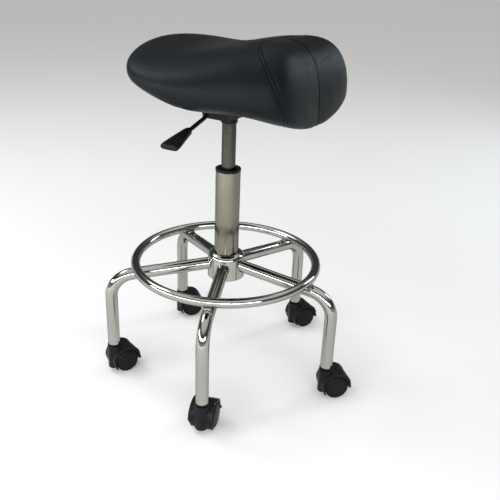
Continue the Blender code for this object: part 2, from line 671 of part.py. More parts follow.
def hood_mesh():
    """The hood: an arched shell over both wheels, round a web and an upright boss for the stem."""
    centre = (TRAIL, 0, WHEEL_RADIUS + HOOD_RISE)
    arch = cylinder_mesh("hood", HOOD_RADIUS, -HOOD_HALF_WIDTH, HOOD_HALF_WIDTH, 28, axis="Y")
    arch.transform(Matrix.Translation(centre))
    hood = add_cutter("hood", arch, None)
    boss = add_cutter("hood_boss", cylinder_mesh("hood_boss", BOSS_RADIUS, BOSS_BOTTOM, BOSS_TOP, 20), None)
    unite(hood, boss)
    for number, (low, high) in enumerate(((WEB_HALF_WIDTH, 0.03), (-0.03, -WEB_HALF_WIDTH))):
        well = cylinder_mesh("wheel_well", WELL_RADIUS, low, high, 24, axis="Y")
        well.transform(Matrix.Translation((TRAIL, 0, WHEEL_RADIUS)))
        difference(hood, add_cutter(f"wheel_well_{number}", well, None))
    below = box_mesh("hood_below", (-0.05, -0.03, -0.06), (0.08, 0.03, 0.0))
    below.transform(Matrix.Translation((TRAIL, 0, HOOD_MOUTH)) @ Matrix.Rotation(HOOD_TILT, 4, "Y"))
    difference(hood, add_cutter("hood_below", below, None))
    axle_bore = cylinder_mesh("axle_bore", AXLE_BORE, -0.01, 0.01, 12, axis="Y")
    axle_bore.transform(Matrix.Translation((TRAIL, 0, WHEEL_RADIUS)))
    difference(hood, add_cutter("axle_bore", axle_bore, None))
    stem_bore = cylinder_mesh("stem_bore", STEM_BORE, STEM_BOTTOM - GAP, 0.07, 16)
    difference(hood, add_cutter("stem_bore", stem_bore, None))
    mesh = applied_mesh(hood)
    for cutter in list(CUTTERS.objects):
        if cutter.parent is None:
            bpy.data.objects.remove(cutter)
    mesh.shade_smooth()
    mesh.set_sharp_from_angle(angle=math.radians(40))
    return mesh


def wheel_profile():
    """Half a wheel's section: a closed outer face, and a blind bore from the inner face."""
    width = WHEEL_OUTER - WHEEL_INNER
    return [
        (0, width),
        (0.0220, width - 0.0008),
        (WHEEL_RADIUS, width - 0.0040),
        (WHEEL_RADIUS, 0.0012),
        (WHEEL_RADIUS - 0.0012, 0),
        (AXLE_BORE, 0),
        (AXLE_BORE, BORE_DEPTH),
        (0, BORE_DEPTH),
    ]


def make_casters(leg_frames):
    hood = hood_mesh()
    stem = cylinder_mesh("stem", STEM_RADIUS, STEM_BOTTOM, STEM_TOP, 12)
    half_axle = WHEEL_INNER + BORE_DEPTH - AXLE_END_GAP
    axle = cylinder_mesh("axle", AXLE_RADIUS, -half_axle, half_axle, 12, axis="Y")
    flange_top = LEG_END - GAP
    flange_bottom = flange_top - SOCKET_FLANGE_THICKNESS
    socket = [
        (SOCKET_FLANGE, flange_top),
        (SOCKET_FLANGE, flange_bottom),
        (STEM_BORE, flange_bottom),
        (STEM_BORE, SLEEVE_TOP),
        (SLEEVE_RADIUS, SLEEVE_TOP),
        (SLEEVE_RADIUS, flange_top),
    ]
    for number, frame in enumerate(leg_frames, start=1):
        name = f"caster_{number}"
        holder = add_empty(f"{name}_socket_frame", frame, location=(LEG_REACH, 0, 0))
        turn_piece(f"leg_socket_{number}", socket, 12, BLACK_PLASTIC, holder)
        leg_turn = FIRST_LEG + 2 * math.pi * (number - 1) / LEG_COUNT
        swivel = add_empty(f"{name}_swivel", holder, turn=math.radians(TRAIL_TURNS[number - 1]) - leg_turn)
        add_piece(f"{name}_hood", hood.copy(), BLACK_PLASTIC, swivel)
        add_piece(f"{name}_stem", stem.copy(), STEEL, swivel)
        wheel_frame = add_empty(f"{name}_axle_frame", swivel, location=(TRAIL, 0, WHEEL_RADIUS))
        add_piece(f"{name}_axle", axle.copy(), STEEL, wheel_frame)
        for side, sign in (("left", 1), ("right", -1)):
            wheel_name = f"{name}_wheel_{side}"
            wheel = turn_piece(wheel_name, wheel_profile(), 20, BLACK_PLASTIC, wheel_frame, closed=False)
            wheel.location.y = sign * WHEEL_INNER
            wheel.rotation_euler.x = -sign * math.pi / 2


def main():
    frame = add_empty("stool_frame", location=(COLUMN_X, COLUMN_Y, 0))
    base = add_empty("base_body", frame)
    rod_body = add_empty("rod_body", frame)
    seat_body = add_empty("seat_body", frame)
    pin_frame = add_empty("pin_frame", seat_body, location=(0, 0, PIN_TOP))
    leg_frames = make_legs(base)
    make_hub(base, leg_frames)
    make_foot_ring(base)
    make_column(base, rod_body, seat_body)
    make_release_pin(pin_frame)
    make_taper_socket(seat_body)
    plate = make_seat_plate(seat_body)
    board = make_seat_board(seat_body)
    make_seat_bolts(seat_body, plate, board)
    make_lever(seat_body)
    make_cushion(seat_body)
    make_casters(leg_frames)


main()
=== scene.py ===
"""Looks of the dentist's saddle stool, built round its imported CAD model.

Metres, +Z up. The saddle's front points along -Y. Pieces on the column are laid out round its axis.
"""

from math import copysign, cos, exp, pi, radians, sin, sqrt, tan

import bmesh
import bpy
import numpy as np
from mathutils import Matrix, Vector


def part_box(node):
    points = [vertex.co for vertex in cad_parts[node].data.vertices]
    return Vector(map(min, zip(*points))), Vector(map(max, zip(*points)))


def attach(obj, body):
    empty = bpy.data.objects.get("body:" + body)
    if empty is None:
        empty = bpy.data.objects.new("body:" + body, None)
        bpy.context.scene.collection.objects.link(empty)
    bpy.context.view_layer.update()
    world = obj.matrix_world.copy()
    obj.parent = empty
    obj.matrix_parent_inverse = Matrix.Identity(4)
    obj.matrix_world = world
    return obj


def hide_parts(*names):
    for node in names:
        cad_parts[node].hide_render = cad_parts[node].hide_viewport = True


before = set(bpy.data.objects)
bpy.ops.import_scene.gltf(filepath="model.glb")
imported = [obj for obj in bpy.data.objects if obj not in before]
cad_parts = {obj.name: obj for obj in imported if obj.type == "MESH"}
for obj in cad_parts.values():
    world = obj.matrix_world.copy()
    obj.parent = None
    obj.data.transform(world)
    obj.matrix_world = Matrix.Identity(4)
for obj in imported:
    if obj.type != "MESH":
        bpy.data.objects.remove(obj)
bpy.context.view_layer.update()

# Dimensions shared with the CAD model
LEG_COUNT = 5
FIRST_LEG = radians(-83.5)
LEG_REACH, LEG_RADIUS, LEG_END = 0.2403, 0.0127, 0.0688
BEND_RADIUS = 0.050
ARM_SLOPE = radians(6.26)
ARM_START, ARM_START_HEIGHT = 0.0336, 0.2500
RING_RADIUS, RING_TUBE_RADIUS, RING_HEIGHT = 0.1882, 0.0095, 0.2557
SKIRT_RADIUS, SKIRT_BOTTOM, SKIRT_TOP = 0.0385, 0.2222, 0.2640
DOME_RADIUS = 0.0130
SHEET = 0.0015
ARM_CLEARANCE = 0.0008
OUTER_TUBE_RADIUS, OUTER_TUBE_BORE = 0.0250, 0.0232
COLUMN_BOTTOM, COLUMN_TOP = 0.2228, 0.4520
BUSHING_RADIUS, BUSHING_SLEEVE, BUSHING_BORE = 0.0256, 0.0226, 0.0145
BUSHING_BOTTOM, BUSHING_LIP = 0.4050, 0.0052
LIFT_RADIUS, LIFT_BORE, LIFT_BOTTOM, LIFT_TOP = 0.0140, 0.0125, 0.3450, 0.5800
SOCKET_RADIUS, SOCKET_BOTTOM, SOCKET_TOP = 0.0165, 0.5490, 0.5780
GAP = 0.0003
TRAIL = 0.0200
WHEEL_RADIUS, WHEEL_INNER, WHEEL_OUTER = 0.0250, 0.0074, 0.0245
HOOD_RADIUS, HOOD_RISE, HOOD_HALF_WIDTH = 0.0310, 0.0030, 0.0228
WEB_HALF_WIDTH, WELL_RADIUS = 0.0068, 0.0263
BOSS_RADIUS, BOSS_BOTTOM, BOSS_TOP = 0.0145, 0.0100, 0.0630
HOOD_MOUTH, HOOD_TILT = 0.0180, radians(-13)
STEM_RADIUS, STEM_BORE, STEM_BOTTOM, STEM_TOP = 0.0055, 0.0059, 0.0225, 0.1000
AXLE_BORE, BORE_DEPTH = 0.0034, 0.0120
FLANGE_RADIUS, FLANGE_THICKNESS = 0.0136, 0.0027
SLEEVE_RADIUS, SLEEVE_TOP = 0.0102, 0.1050
TRAIL_TURNS = (-44.3, -30.2, -37.9, -21.0, 17.5)  # degrees, one for each caster
LEVER_TURN = radians(184)
LEVER_RADIUS, LEVER_HEIGHT = 0.0038, 0.5893

# Small details of the looks, and the ends of the shapes that cut the hood
WELD_HALF_LENGTH, WELD_OFFSET, WELD_RADIUS = 0.0085, 0.0062, 0.0019
FILLET_RADIUS, FILLET_SINK = 0.0010, 0.0003
PLATE_THICKNESS, PLATE_BORE = 0.0029, 0.0056
ARCH_ROUNDING, BOSS_ROUNDING, HOOD_BEVEL = 0.0022, 0.0016, 0.0005
WELL_END, AXLE_END, BORE_TOP = 0.0300, 0.0100, 0.0700
NEAR = 0.00001
DISH_DEPTH, DISH_REACH, DISH_LENGTH = 0.0011, 0.182, 0.013

# Saddle, as in the CAD model: five stations from its rear to its front
SEAT_AHEAD, SEAT_HALF_LENGTH = 0.0184, 0.1742
HALF_WIDTHS = (0.201, 0.201, 0.202, 0.182, 0.159)
RIM_HEIGHTS = (0.684, 0.652, 0.634, 0.618, 0.583)
DROOPS = (0.008, 0.002, -0.003, -0.015, -0.053)
CROWNS = (0.040, 0.042, 0.063, 0.105, 0.174)
BELLIES = (0.024, 0.028, 0.039, 0.030, 0.030)
EDGES = (2.65, 1.92, 2.31, 2.37, 2.35)
BELLY_EDGE = 3.16
OUTLINE_REAR, OUTLINE_FRONT = 2.13, 5.63
BOARD_HALF_X, BOARD_HALF_Y, BOARD_AHEAD = 0.100, 0.085, 0.025
UNDERSIDE, FLAT_REACH, CURVE_REACH = 0.6040, 1.35, 1.90

# Seams of the saddle: a front panel sewn on along a ring round the nose, and a joint down its middle
NOSE_TILT = radians(28.2)  # how far above the horizon the ring's middle points
SEAM_ANGLE = radians(36.5)  # the ring's half-angle over the top and sides
SEAM_DROP = radians(33.0)  # how much wider it is where it passes under the nose
SEAM_DROP_START, SEAM_DROP_SPAN = radians(136), radians(40)
STITCH_OFFSET = 0.0030  # each row of stitches, from the seam
STITCH_LENGTH, STITCH_PITCH, THREAD_RADIUS = 0.0032, 0.0042, 0.00032
# Radius of the thin dark tubes of painted shade laid in the seam grooves
PAINTED_GROOVE_SHADE_RADIUS = 0.0008
RING_HOLLOW, RING_RIDGE = (0.0005, 0.0090), (0.0005, 0.0022)  # depth and width of each
JOINT_HOLLOW, JOINT_GROOVE = (0.0002, 0.0050), (0.0013, 0.0008)
STITCH_GROOVE = (0.0014, 0.0007)
PUCKER_HEIGHT, PUCKER_OFFSET, PUCKER_WIDTH = 0.00022, 0.0090, 0.0065

# Cloth simulation of the padding
SHRINK = 0.0012
MOST_SWELL = 0.0030
SIM_FRAMES = 20
SIM_PRESSURE = 8.0
SIM_TENSION, SIM_BENDING = 25, 3
FOAM_HOLD = 0.2  # how firmly the foam keeps the cover in place between the seams
POLE_REACH, POLE_BLUR = 0.030, 0.010

# Camera, at the photographer's place: round the stool's front right and above the seat
CAMERA_PLACE = (-1.0609, -0.7156, 0.8706)  # from the column's foot
CAMERA_PAN, CAMERA_PITCH, CAMERA_ROLL = radians(58.21), radians(24.8), radians(2.25)
CAMERA_LENS, CAMERA_SENSOR = 48.51, 36.0  # millimetres

# Lights: two soft boxes, and a row of long soft strips on the camera's side
LIGHT_TARGET = (0, 0, 0.55)
STRIP_AZIMUTHS = [radians(a) for a in (-48, -81, -114, -147)]
STRIP_AWAY, STRIP_HEIGHT, STRIP_SIZE, STRIP_POWER = 3.0, 1.1, (1.7, 0.4), 36
FLOOR_HALF = 30.0

low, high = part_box("outer_tube")
COLUMN = Vector(((low[0] + high[0]) / 2, (low[1] + high[1]) / 2, 0))


# Mesh helpers


def placed(name, data):
    """A new object in the scene."""
    made = bpy.data.objects.new(name, data)
    bpy.context.scene.collection.objects.link(made)
    return made


def mesh_of(name, vertices, faces):
    mesh = bpy.data.meshes.new(name)
    mesh.from_pydata([tuple(v) for v in vertices], [], faces)
    return mesh


def new_piece(name, vertices, faces, look, body, nodes=(), slot=None, sharp=35):
    """A smooth-shaded mesh that rides on a body and stands for CAD nodes."""
    return finish_piece(name, mesh_of(name, vertices, faces), look, body, nodes, sharp)


def finish_piece(name, mesh, look, body, nodes=(), sharp=35):
    mesh.shade_smooth()
    mesh.set_sharp_from_angle(angle=radians(sharp))
    mesh.materials.clear()
    mesh.materials.append(look)
    made = placed(name, mesh)
    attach(made, body)
    if nodes:
        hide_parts(*nodes)
    return made


def turns(count):
    """Angles evenly spaced round a circle."""
    return [2 * pi * i / count for i in range(count)]


def rounded(profile, radius, closed=True, steps=4):
    """The profile with a small curve in place of each corner."""
    points = []
    count = len(profile)
    for i, (r, z) in enumerate(profile):
        if not closed and i in (0, count - 1):
            points.append((r, z))
            continue
        corner = Vector((r, z))
        back, ahead = Vector(profile[i - 1]) - corner, Vector(profile[(i + 1) % count]) - corner
        start = corner + back.normalized() * min(radius, 0.45 * back.length)
        end = corner + ahead.normalized() * min(radius, 0.45 * ahead.length)
        for step in range(steps + 1):
            f = step / steps
            points.append(tuple((1 - f) ** 2 * start + 2 * f * (1 - f) * corner + f * f * end))
    return points


def lathe(profile, segments, centre=(0, 0, 0), closed=True):
    """Vertices and faces of a profile turned about Z. The profile runs down the outer side."""
    vertices, rings = [], []
    for r, z in profile:
        first = len(vertices)
        around = 1 if r < 1e-9 else segments
        for angle in turns(around):
            vertices.append((centre[0] + r * cos(angle), centre[1] + r * sin(angle), centre[2] + z))
        rings.append([first + j % around for j in range(segments + 1)])
    faces = []
    pairs = list(zip(rings, rings[1:])) + ([(rings[-1], rings[0])] if closed else [])
    for upper, lower in pairs:
        for j in range(segments):
            corners = (upper[j], lower[j], lower[j + 1], upper[j + 1])
            faces.append(tuple(dict.fromkeys(corners)))
    return vertices, [face for face in faces if len(face) > 2]


def sweep(points, radii, sides, closed=False):
    """A round section carried along a line of points without twisting."""
    points = [Vector(p) for p in points]
    count = len(points)
    tangents = []
    for i in range(count):
        ahead = points[(i + 1) % count] if closed or i < count - 1 else points[i]
        behind = points[i - 1] if closed or i > 0 else points[i]
        tangents.append((ahead - behind).normalized())
    helper = Vector((0, 0, 1)) if abs(tangents[0].z) < 0.9 else Vector((0, 1, 0))
    normal = (helper - helper.dot(tangents[0]) * tangents[0]).normalized()
    vertices, faces = [], []
    for point, tangent, radius in zip(points, tangents, radii):
        normal = (normal - normal.dot(tangent) * tangent).normalized()
        side = tangent.cross(normal)
        for angle in turns(sides):
            vertices.append(point + radius * (cos(angle) * normal + sin(angle) * side))
    for i in range(count if closed else count - 1):
        a, b = i * sides, ((i + 1) % count) * sides
        for j in range(sides):
            k = (j + 1) % sides
            faces.append((a + j, a + k, b + k, b + j))
    if not closed:
        faces.append(tuple(range(sides))[::-1])
        faces.append(tuple((count - 1) * sides + j for j in range(sides)))
    return vertices, faces


def joined(parts):
    """Several (vertices, faces) as one."""
    vertices, faces = [], []
    for more_vertices, more_faces in parts:
        offset = len(vertices)
        vertices.extend(more_vertices)
        faces.extend(tuple(offset + i for i in face) for face in more_faces)
    return vertices, faces


def between(a, b, c, d, f):
    """A fraction of the way from b to c, on the smooth line through four values."""
    return b + 0.5 * f * (c - a + f * (2 * a - 5 * b + 4 * c - d + f * (3 * (b - c) + d - a)))


def catmull_rom(points, steps):
    """A smooth line through points."""
    points = [Vector(p) for p in points]
    line = [2 * points[0] - points[1], *points, 2 * points[-1] - points[-2]]
    smooth = []
    for i in range(1, len(line) - 2):
        smooth += [between(*line[i - 1 : i + 3], step / steps) for step in range(steps)]
    smooth.append(points[-1])
    return smooth


def cylinder(radius, low_end, high_end, segments, place=Matrix.Identity(4)):
    """A closed cylinder along Z as a bmesh, set in place."""
    bm = bmesh.new()
    depth = high_end - low_end
    bmesh.ops.create_cone(bm, cap_ends=True, segments=segments, radius1=radius, radius2=radius, depth=depth)
    bm.transform(place @ Matrix.Translation((0, 0, (low_end + high_end) / 2)))
    return bm


def object_of(bm):
    """The bmesh as an object, for combined."""
    mesh = bpy.data.meshes.new("shape")
    bm.to_mesh(mesh)
    bm.free()
    return placed("shape", mesh)


def combined(first, operations, bevel=0.0):
    """The mesh of an object after Booleans with others, and a small bevel on its edges."""
    for operation, other in operations:
        modifier = first.modifiers.new("shape", "BOOLEAN")
        modifier.operation = operation
        modifier.object = other
    if bevel:
        weld = first.modifiers.new("weld", "WELD")
        weld.merge_threshold = 0.00002
        modifier = first.modifiers.new("edges", "BEVEL")
        modifier.width = bevel
        modifier.segments = 3
        modifier.limit_method = "ANGLE"
        modifier.angle_limit = radians(38)
        modifier.miter_outer = "MITER_ARC"
        modifier.use_clamp_overlap = True
    bpy.context.view_layer.update()
    graph = bpy.context.evaluated_depsgraph_get()
    mesh = bpy.data.meshes.new_from_object(first.evaluated_get(graph))
    for used in [first] + [other for _, other in operations]:
        bpy.data.objects.remove(used)
    return mesh


def cleaned(mesh, distance):
    """A bmesh of the mesh without the slivers that a Boolean or a bevel leaves."""
    bm = bmesh.new()
    bm.from_mesh(mesh)
    bmesh.ops.remove_doubles(bm, verts=bm.verts, dist=distance)
    bmesh.ops.dissolve_degenerate(bm, edges=bm.edges, dist=distance)
    bmesh.ops.recalc_face_normals(bm, faces=bm.faces)
    return bm


# Materials


class Nodes:
    """A few lines to build a material's nodes with."""

    def __init__(self, name, colour, roughness, metallic=0.0):
        self.material = bpy.data.materials.new(name)
        self.material.use_nodes = True
        self.tree = self.material.node_tree
        self.shader = self.tree.nodes["Principled BSDF"]
        self.set_shader("Base Color", (*colour, 1))
        self.set_shader("Roughness", roughness)
        self.set_shader("Metallic", metallic)
        self.place = self.add("ShaderNodeTexCoord").outputs["Object"]

    def set_shader(self, name, value):
        self.shader.inputs[name].default_value = value

    def add(self, kind, inputs=None, **values):
        node = self.tree.nodes.new(kind)
        for key, value in values.items():
            setattr(node, key, value)
        for key, value in (inputs or {}).items():
            node.inputs[key].default_value = value
        return node

    def link(self, source, target):
        self.tree.links.new(source, target)

    def stretched(self, scale):
        mapping = self.add("ShaderNodeMapping", {"Scale": scale})
        self.link(self.place, mapping.inputs["Vector"])
        return mapping.outputs["Vector"]

    def textured(self, kind, inputs, output, place=None, **values):
        """A texture's output, at the object's own coordinates or at a given place."""
        node = self.add(kind, inputs, **values)
        self.link(place or self.place, node.inputs["Vector"])
        return node.outputs[output]

    def noise(self, scale, detail=3.0, roughness=0.55, place=None):
        inputs = {"Scale": scale, "Detail": detail, "Roughness": roughness}
        return self.textured("ShaderNodeTexNoise", inputs, "Fac", place)

    def ranged(self, source, low_value, high_value, low_in=0.3, high_in=0.7):
        inputs = {"From Min": low_in, "From Max": high_in, "To Min": low_value, "To Max": high_value}
        node = self.add("ShaderNodeMapRange", inputs)
        self.link(source, node.inputs["Value"])
        return node.outputs["Result"]

    def vary_roughness(self, source, low_value, high_value):
        self.link(self.ranged(source, low_value, high_value), self.shader.inputs["Roughness"])

    def cloud_colour(self, source, first, second):
        """The base colour, drifting from the first to the second with a source. Returns the mixed colour."""
        node = self.add("ShaderNodeMix", {"A": (*first, 1), "B": (*second, 1)}, data_type="RGBA")
        self.link(self.ranged(source, 0, 1), node.inputs["Factor"])
        self.link(node.outputs["Result"], self.shader.inputs["Base Color"])
        return node.outputs["Result"]

    def bump(self, source, strength, distance, under=None):
        node = self.add("ShaderNodeBump", {"Strength": strength, "Distance": distance})
        self.link(source, node.inputs["Height"])
        if under:
            self.link(under, node.inputs["Normal"])
        self.link(node.outputs["Normal"], self.shader.inputs["Normal"])
        return node.outputs["Normal"]


def chrome_material(name, haze, bright, dull):
    """Bright plate with a faint haze of handling marks and hairline scratches."""
    nodes = Nodes(name, bright, haze, 1.0)
    nodes.set_shader("Specular Tint", (0.55, 0.56, 0.58, 1))
    nodes.vary_roughness(nodes.noise(38, 5, 0.6), haze * 0.55, haze * 1.9)
    nodes.cloud_colour(nodes.noise(9, 3), bright, dull)
    waves = nodes.bump(nodes.noise(24, 2), 0.05, 0.0008)
    nodes.bump(nodes.noise(900, 2, 0.6, nodes.stretched((1, 1, 0.06))), 0.03, 0.0002, waves)
    return nodes.material


def steel_material():
    """Zinc-plated steel, slightly cloudy."""
    nodes = Nodes("zinc_steel", (0.50, 0.50, 0.52), 0.32, 1.0)
    nodes.vary_roughness(nodes.noise(150, 4), 0.24, 0.42)
    nodes.cloud_colour(nodes.noise(60, 4), (0.55, 0.55, 0.57), (0.40, 0.40, 0.41))
    nodes.bump(nodes.noise(1200, 2), 0.10, 0.0003)
    return nodes.material


def painted_material(name):
    """Black powder coat with its orange peel."""
    nodes = Nodes(name, (0.008, 0.008, 0.009), 0.42)
    nodes.set_shader("Specular IOR Level", 0.12)
    nodes.vary_roughness(nodes.noise(80, 4), 0.34, 0.50)
    nodes.cloud_colour(nodes.noise(35, 4), (0.0025, 0.0025, 0.003), (0.0055, 0.0055, 0.006))
    nodes.bump(nodes.noise(850, 2, 0.5), 0.22, 0.0004)
    return nodes.material


def plastic_material(name, dark, light, roughness, grain):
    """Moulded plastic with a fine spark-eroded texture and faint scuffs."""
    nodes = Nodes(name, dark, roughness)
    nodes.set_shader("Specular IOR Level", 0.10)
    nodes.vary_roughness(nodes.noise(55, 6, 0.65), roughness - 0.09, roughness + 0.10)
    nodes.cloud_colour(nodes.noise(26, 5, 0.6), dark, light)
    nodes.bump(nodes.noise(grain, 3, 0.6), 0.22, 0.0003)
    return nodes.material


def rubber_material():
    nodes = Nodes("rubber", (0.03, 0.03, 0.03), 0.78)
    nodes.cloud_colour(nodes.noise(70, 4), (0.022, 0.022, 0.022), (0.05, 0.049, 0.047))
    nodes.bump(nodes.noise(600, 3), 0.3, 0.0004)
    return nodes.material


def vinyl_material():
    """Upholstery vinyl: a leather grain of small cells, and a soft blue-black sheen."""
    nodes = Nodes("black_vinyl", (0.005, 0.006, 0.0075), 0.40)
    nodes.set_shader("Specular Tint", (0.72, 0.90, 1.0, 1))
    nodes.set_shader("Specular IOR Level", 0.14)
    warped = nodes.add("ShaderNodeVectorMath", {1: (0.0016, 0.0016, 0.0016)}, operation="MULTIPLY_ADD")
    nodes.link(nodes.textured("ShaderNodeTexNoise", {"Scale": 260}, "Color"), warped.inputs[0])
    nodes.link(nodes.place, warped.inputs[2])
    cells = nodes.textured("ShaderNodeTexVoronoi", {"Scale": 620}, "Distance", warped.outputs["Vector"],
                           feature="DISTANCE_TO_EDGE")
    nodes.vary_roughness(nodes.noise(16, 4, 0.6), 0.37, 0.48)
    nodes.cloud_colour(nodes.noise(11, 4), (0.0026, 0.0036, 0.0042), (0.0044, 0.0052, 0.0058))
    soft = nodes.bump(nodes.noise(90, 4, 0.5), 0.12, 0.0010)
    nodes.bump(nodes.ranged(cells, 0.0, 1.0, 0.0, 0.16), 0.24, 0.0004, soft)
    return nodes.material


def thread_material():
    nodes = Nodes("black_thread", (0.012, 0.012, 0.014), 0.6)
    nodes.cloud_colour(nodes.noise(400, 2), (0.010, 0.010, 0.012), (0.030, 0.030, 0.034))
    twist = nodes.textured("ShaderNodeTexWave", {"Scale": 900}, "Fac", bands_direction="DIAGONAL")
    nodes.bump(twist, 0.5, 0.0003)
    return nodes.material


# Near-black and dull: painted shade for the bottoms of the seam grooves
def painted_groove_shade_material():
    nodes = Nodes("seam_painted_groove_shade", (0.002, 0.002, 0.0025), 0.85)
    nodes.set_shader("Specular IOR Level", 0.05)
    nodes.cloud_colour(nodes.noise(500, 2), (0.0015, 0.0015, 0.002), (0.004, 0.004, 0.005))
    nodes.bump(nodes.noise(900, 2), 0.3, 0.0003)
    return nodes.material


def plywood_material():
    """Black-stained birch ply: plies show as bands up the edge, with long grain over the faces."""
    nodes = Nodes("stained_ply", (0.030, 0.025, 0.021), 0.62)
    bands = {"Scale": 170, "Distortion": 0.6}
    plies = nodes.textured("ShaderNodeTexWave", bands, "Color", bands_direction="Z")
    grain = nodes.noise(40, 6, 0.65, nodes.stretched((1, 12, 1)))
    stain = nodes.cloud_colour(grain, (0.052, 0.042, 0.034), (0.020, 0.017, 0.015))
    darker = nodes.add("ShaderNodeMix", {"Factor": 0.45}, data_type="RGBA", blend_type="MULTIPLY")
    nodes.link(stain, darker.inputs["A"])
    nodes.link(plies, darker.inputs["B"])
    nodes.link(darker.outputs["Result"], nodes.shader.inputs["Base Color"])
    nodes.bump(grain, 0.25, 0.0004)
    return nodes.material


CHROME = chrome_material("chrome", 0.045, (0.43, 0.425, 0.395), (0.37, 0.365, 0.335))
# Chrome of the column tube, darker and yellower than the other chrome: painted shade and a painted warm
# reflection in its colour
COLUMN_CHROME_PAINTED_SHADE = chrome_material("column_chrome_painted_shade", 0.15, (0.225, 0.213, 0.172), (0.188, 0.177, 0.142))
# Chrome of the lift tube, its colour far darker than the other chrome: painted shade for the dark reflections
# on this tube
LIFT_CHROME_PAINTED_SHADE = chrome_material("lift_chrome_painted_shade", 0.20, (0.080, 0.078, 0.064), (0.055, 0.053, 0.044))
STEEL = steel_material()
BLACK_STEEL = painted_material("black_powder_coat")
CASTER_PLASTIC = plastic_material("caster_plastic", (0.006, 0.006, 0.007), (0.011, 0.011, 0.012), 0.36, 1500)
WHEEL_PLASTIC = plastic_material("wheel_plastic", (0.006, 0.006, 0.006), (0.010, 0.0095, 0.009), 0.40, 1100)
BLACK_PLASTIC = plastic_material("black_plastic", (0.005, 0.005, 0.0055), (0.009, 0.009, 0.010), 0.42, 1300)
RUBBER = rubber_material()
VINYL = vinyl_material()
THREAD = thread_material()
PAINTED_GROOVE_SHADE = painted_groove_shade_material()
PLYWOOD = plywood_material()


# Base


def on_column(x, y, z):
    return Vector((COLUMN.x + x, COLUMN.y + y, z))


def leg_turn(number):
    return FIRST_LEG + 2 * pi * (number - 1) / LEG_COUNT


def leg_place(number):
    """The leg's own frame, with the column's axis at its origin and the arm along X."""
    return Matrix.Translation(COLUMN) @ Matrix.Rotation(leg_turn(number), 4, "Z")


def arm_height(reach):
    """Height of the arm's centre line at a distance from the column."""
    return ARM_START_HEIGHT - (reach - ARM_START) * tan(ARM_SLOPE)


def leg_points(steps):
    """The leg's centre line: the sloping arm, the bend and the straight leg down to its end."""
    centre_x = LEG_REACH - BEND_RADIUS
    bend_x = centre_x + BEND_RADIUS * sin(ARM_SLOPE)
    centre_z = arm_height(bend_x) - BEND_RADIUS * cos(ARM_SLOPE)
    points = [(ARM_START, 0, ARM_START_HEIGHT)]
    for step in range(steps + 1):
        turn = ARM_SLOPE + (pi / 2 - ARM_SLOPE) * step / steps
        points.append((centre_x + BEND_RADIUS * sin(turn), 0, centre_z + BEND_RADIUS * cos(turn)))
    points.append((LEG_REACH, 0, LEG_END))
    return points


def make_legs():
    for number in range(1, LEG_COUNT + 1):
        points = [leg_place(number) @ Vector(p) for p in leg_points(28)]
        tube = sweep(points, [LEG_RADIUS] * len(points), 40)
        new_piece(f"bent_leg_{number}", *tube, CHROME, "base", [f"leg_{number}"], "chrome", 50)


def make_foot_ring():
    places = [(RING_RADIUS * cos(angle), RING_RADIUS * sin(angle)) for angle in turns(160)]
    points = [on_column(x, y, RING_HEIGHT) for x, y in places]
    tube = sweep(points, [RING_TUBE_RADIUS] * len(points), 28, closed=True)
    new_piece("bent_foot_ring", *tube, CHROME, "base", ["foot_ring"], "chrome")


def make_ring_welds():
    """A rippled bead in each crevice between the foot ring and an arm, on the inner and the outer side."""
    ripples, steps = 5, 30
    for number in range(1, LEG_COUNT + 1):
        beads = []
        for side in (-1, 1):
            reach = RING_RADIUS + side * WELD_OFFSET
            points, radii = [], []
            for step in range(steps + 1):
                f = 2 * step / steps - 1
                across = f * WELD_HALF_LENGTH
                rise = sqrt(LEG_RADIUS**2 - across**2) / cos(ARM_SLOPE)
                points.append(leg_place(number) @ Vector((reach, across, arm_height(reach) + rise + 0.0004)))
                taper = sqrt(max(1 - abs(f) ** 3, 0.02))
                radii.append(WELD_RADIUS * taper * (1 + 0.10 * cos(pi * ripples * (f + 1))))
            beads.append(sweep(points, radii, 12))
        new_piece(f"ring_weld_{number}", *joined(beads), CHROME, "base", slot="chrome", sharp=70)


def make_hub_cover():
    """A thin chrome shell: the skirt, its rounded shoulder, and a hole for each arm."""
    centre = SKIRT_RADIUS - DOME_RADIUS
    inner_lip = OUTER_TUBE_RADIUS + 0.0006
    steps = 14
    outside, inside = [(inner_lip, SKIRT_TOP + DOME_RADIUS)], [(inner_lip, SKIRT_TOP + DOME_RADIUS - SHEET)]
    for step in range(steps + 1):
        angle = pi / 2 * (1 - step / steps)
        for radius, line in ((DOME_RADIUS, outside), (DOME_RADIUS - SHEET, inside)):
            r, z = centre + radius * cos(angle), SKIRT_TOP + radius * sin(angle)
            if r > inner_lip:
                line.append((r, z))
    outside += [(SKIRT_RADIUS, SKIRT_BOTTOM + 0.0005), (SKIRT_RADIUS - 0.0005, SKIRT_BOTTOM)]
    inside += [(SKIRT_RADIUS - SHEET, SKIRT_BOTTOM)]
    shell = placed("hub", mesh_of("hub", *lathe(outside + inside[::-1], 96, COLUMN)))
    cuts = []
    for number in range(1, LEG_COUNT + 1):
        lie = Matrix.Rotation(pi / 2 + ARM_SLOPE, 4, "Y")
        place = leg_place(number) @ Matrix.Translation((ARM_START, 0, ARM_START_HEIGHT)) @ lie
        cuts.append(("DIFFERENCE", object_of(cylinder(LEG_RADIUS + ARM_CLEARANCE, -0.004, 0.030, 48, place))))
    finish_piece("hub_shell", combined(shell, cuts), CHROME, "base", ["hub_cover"], 30)


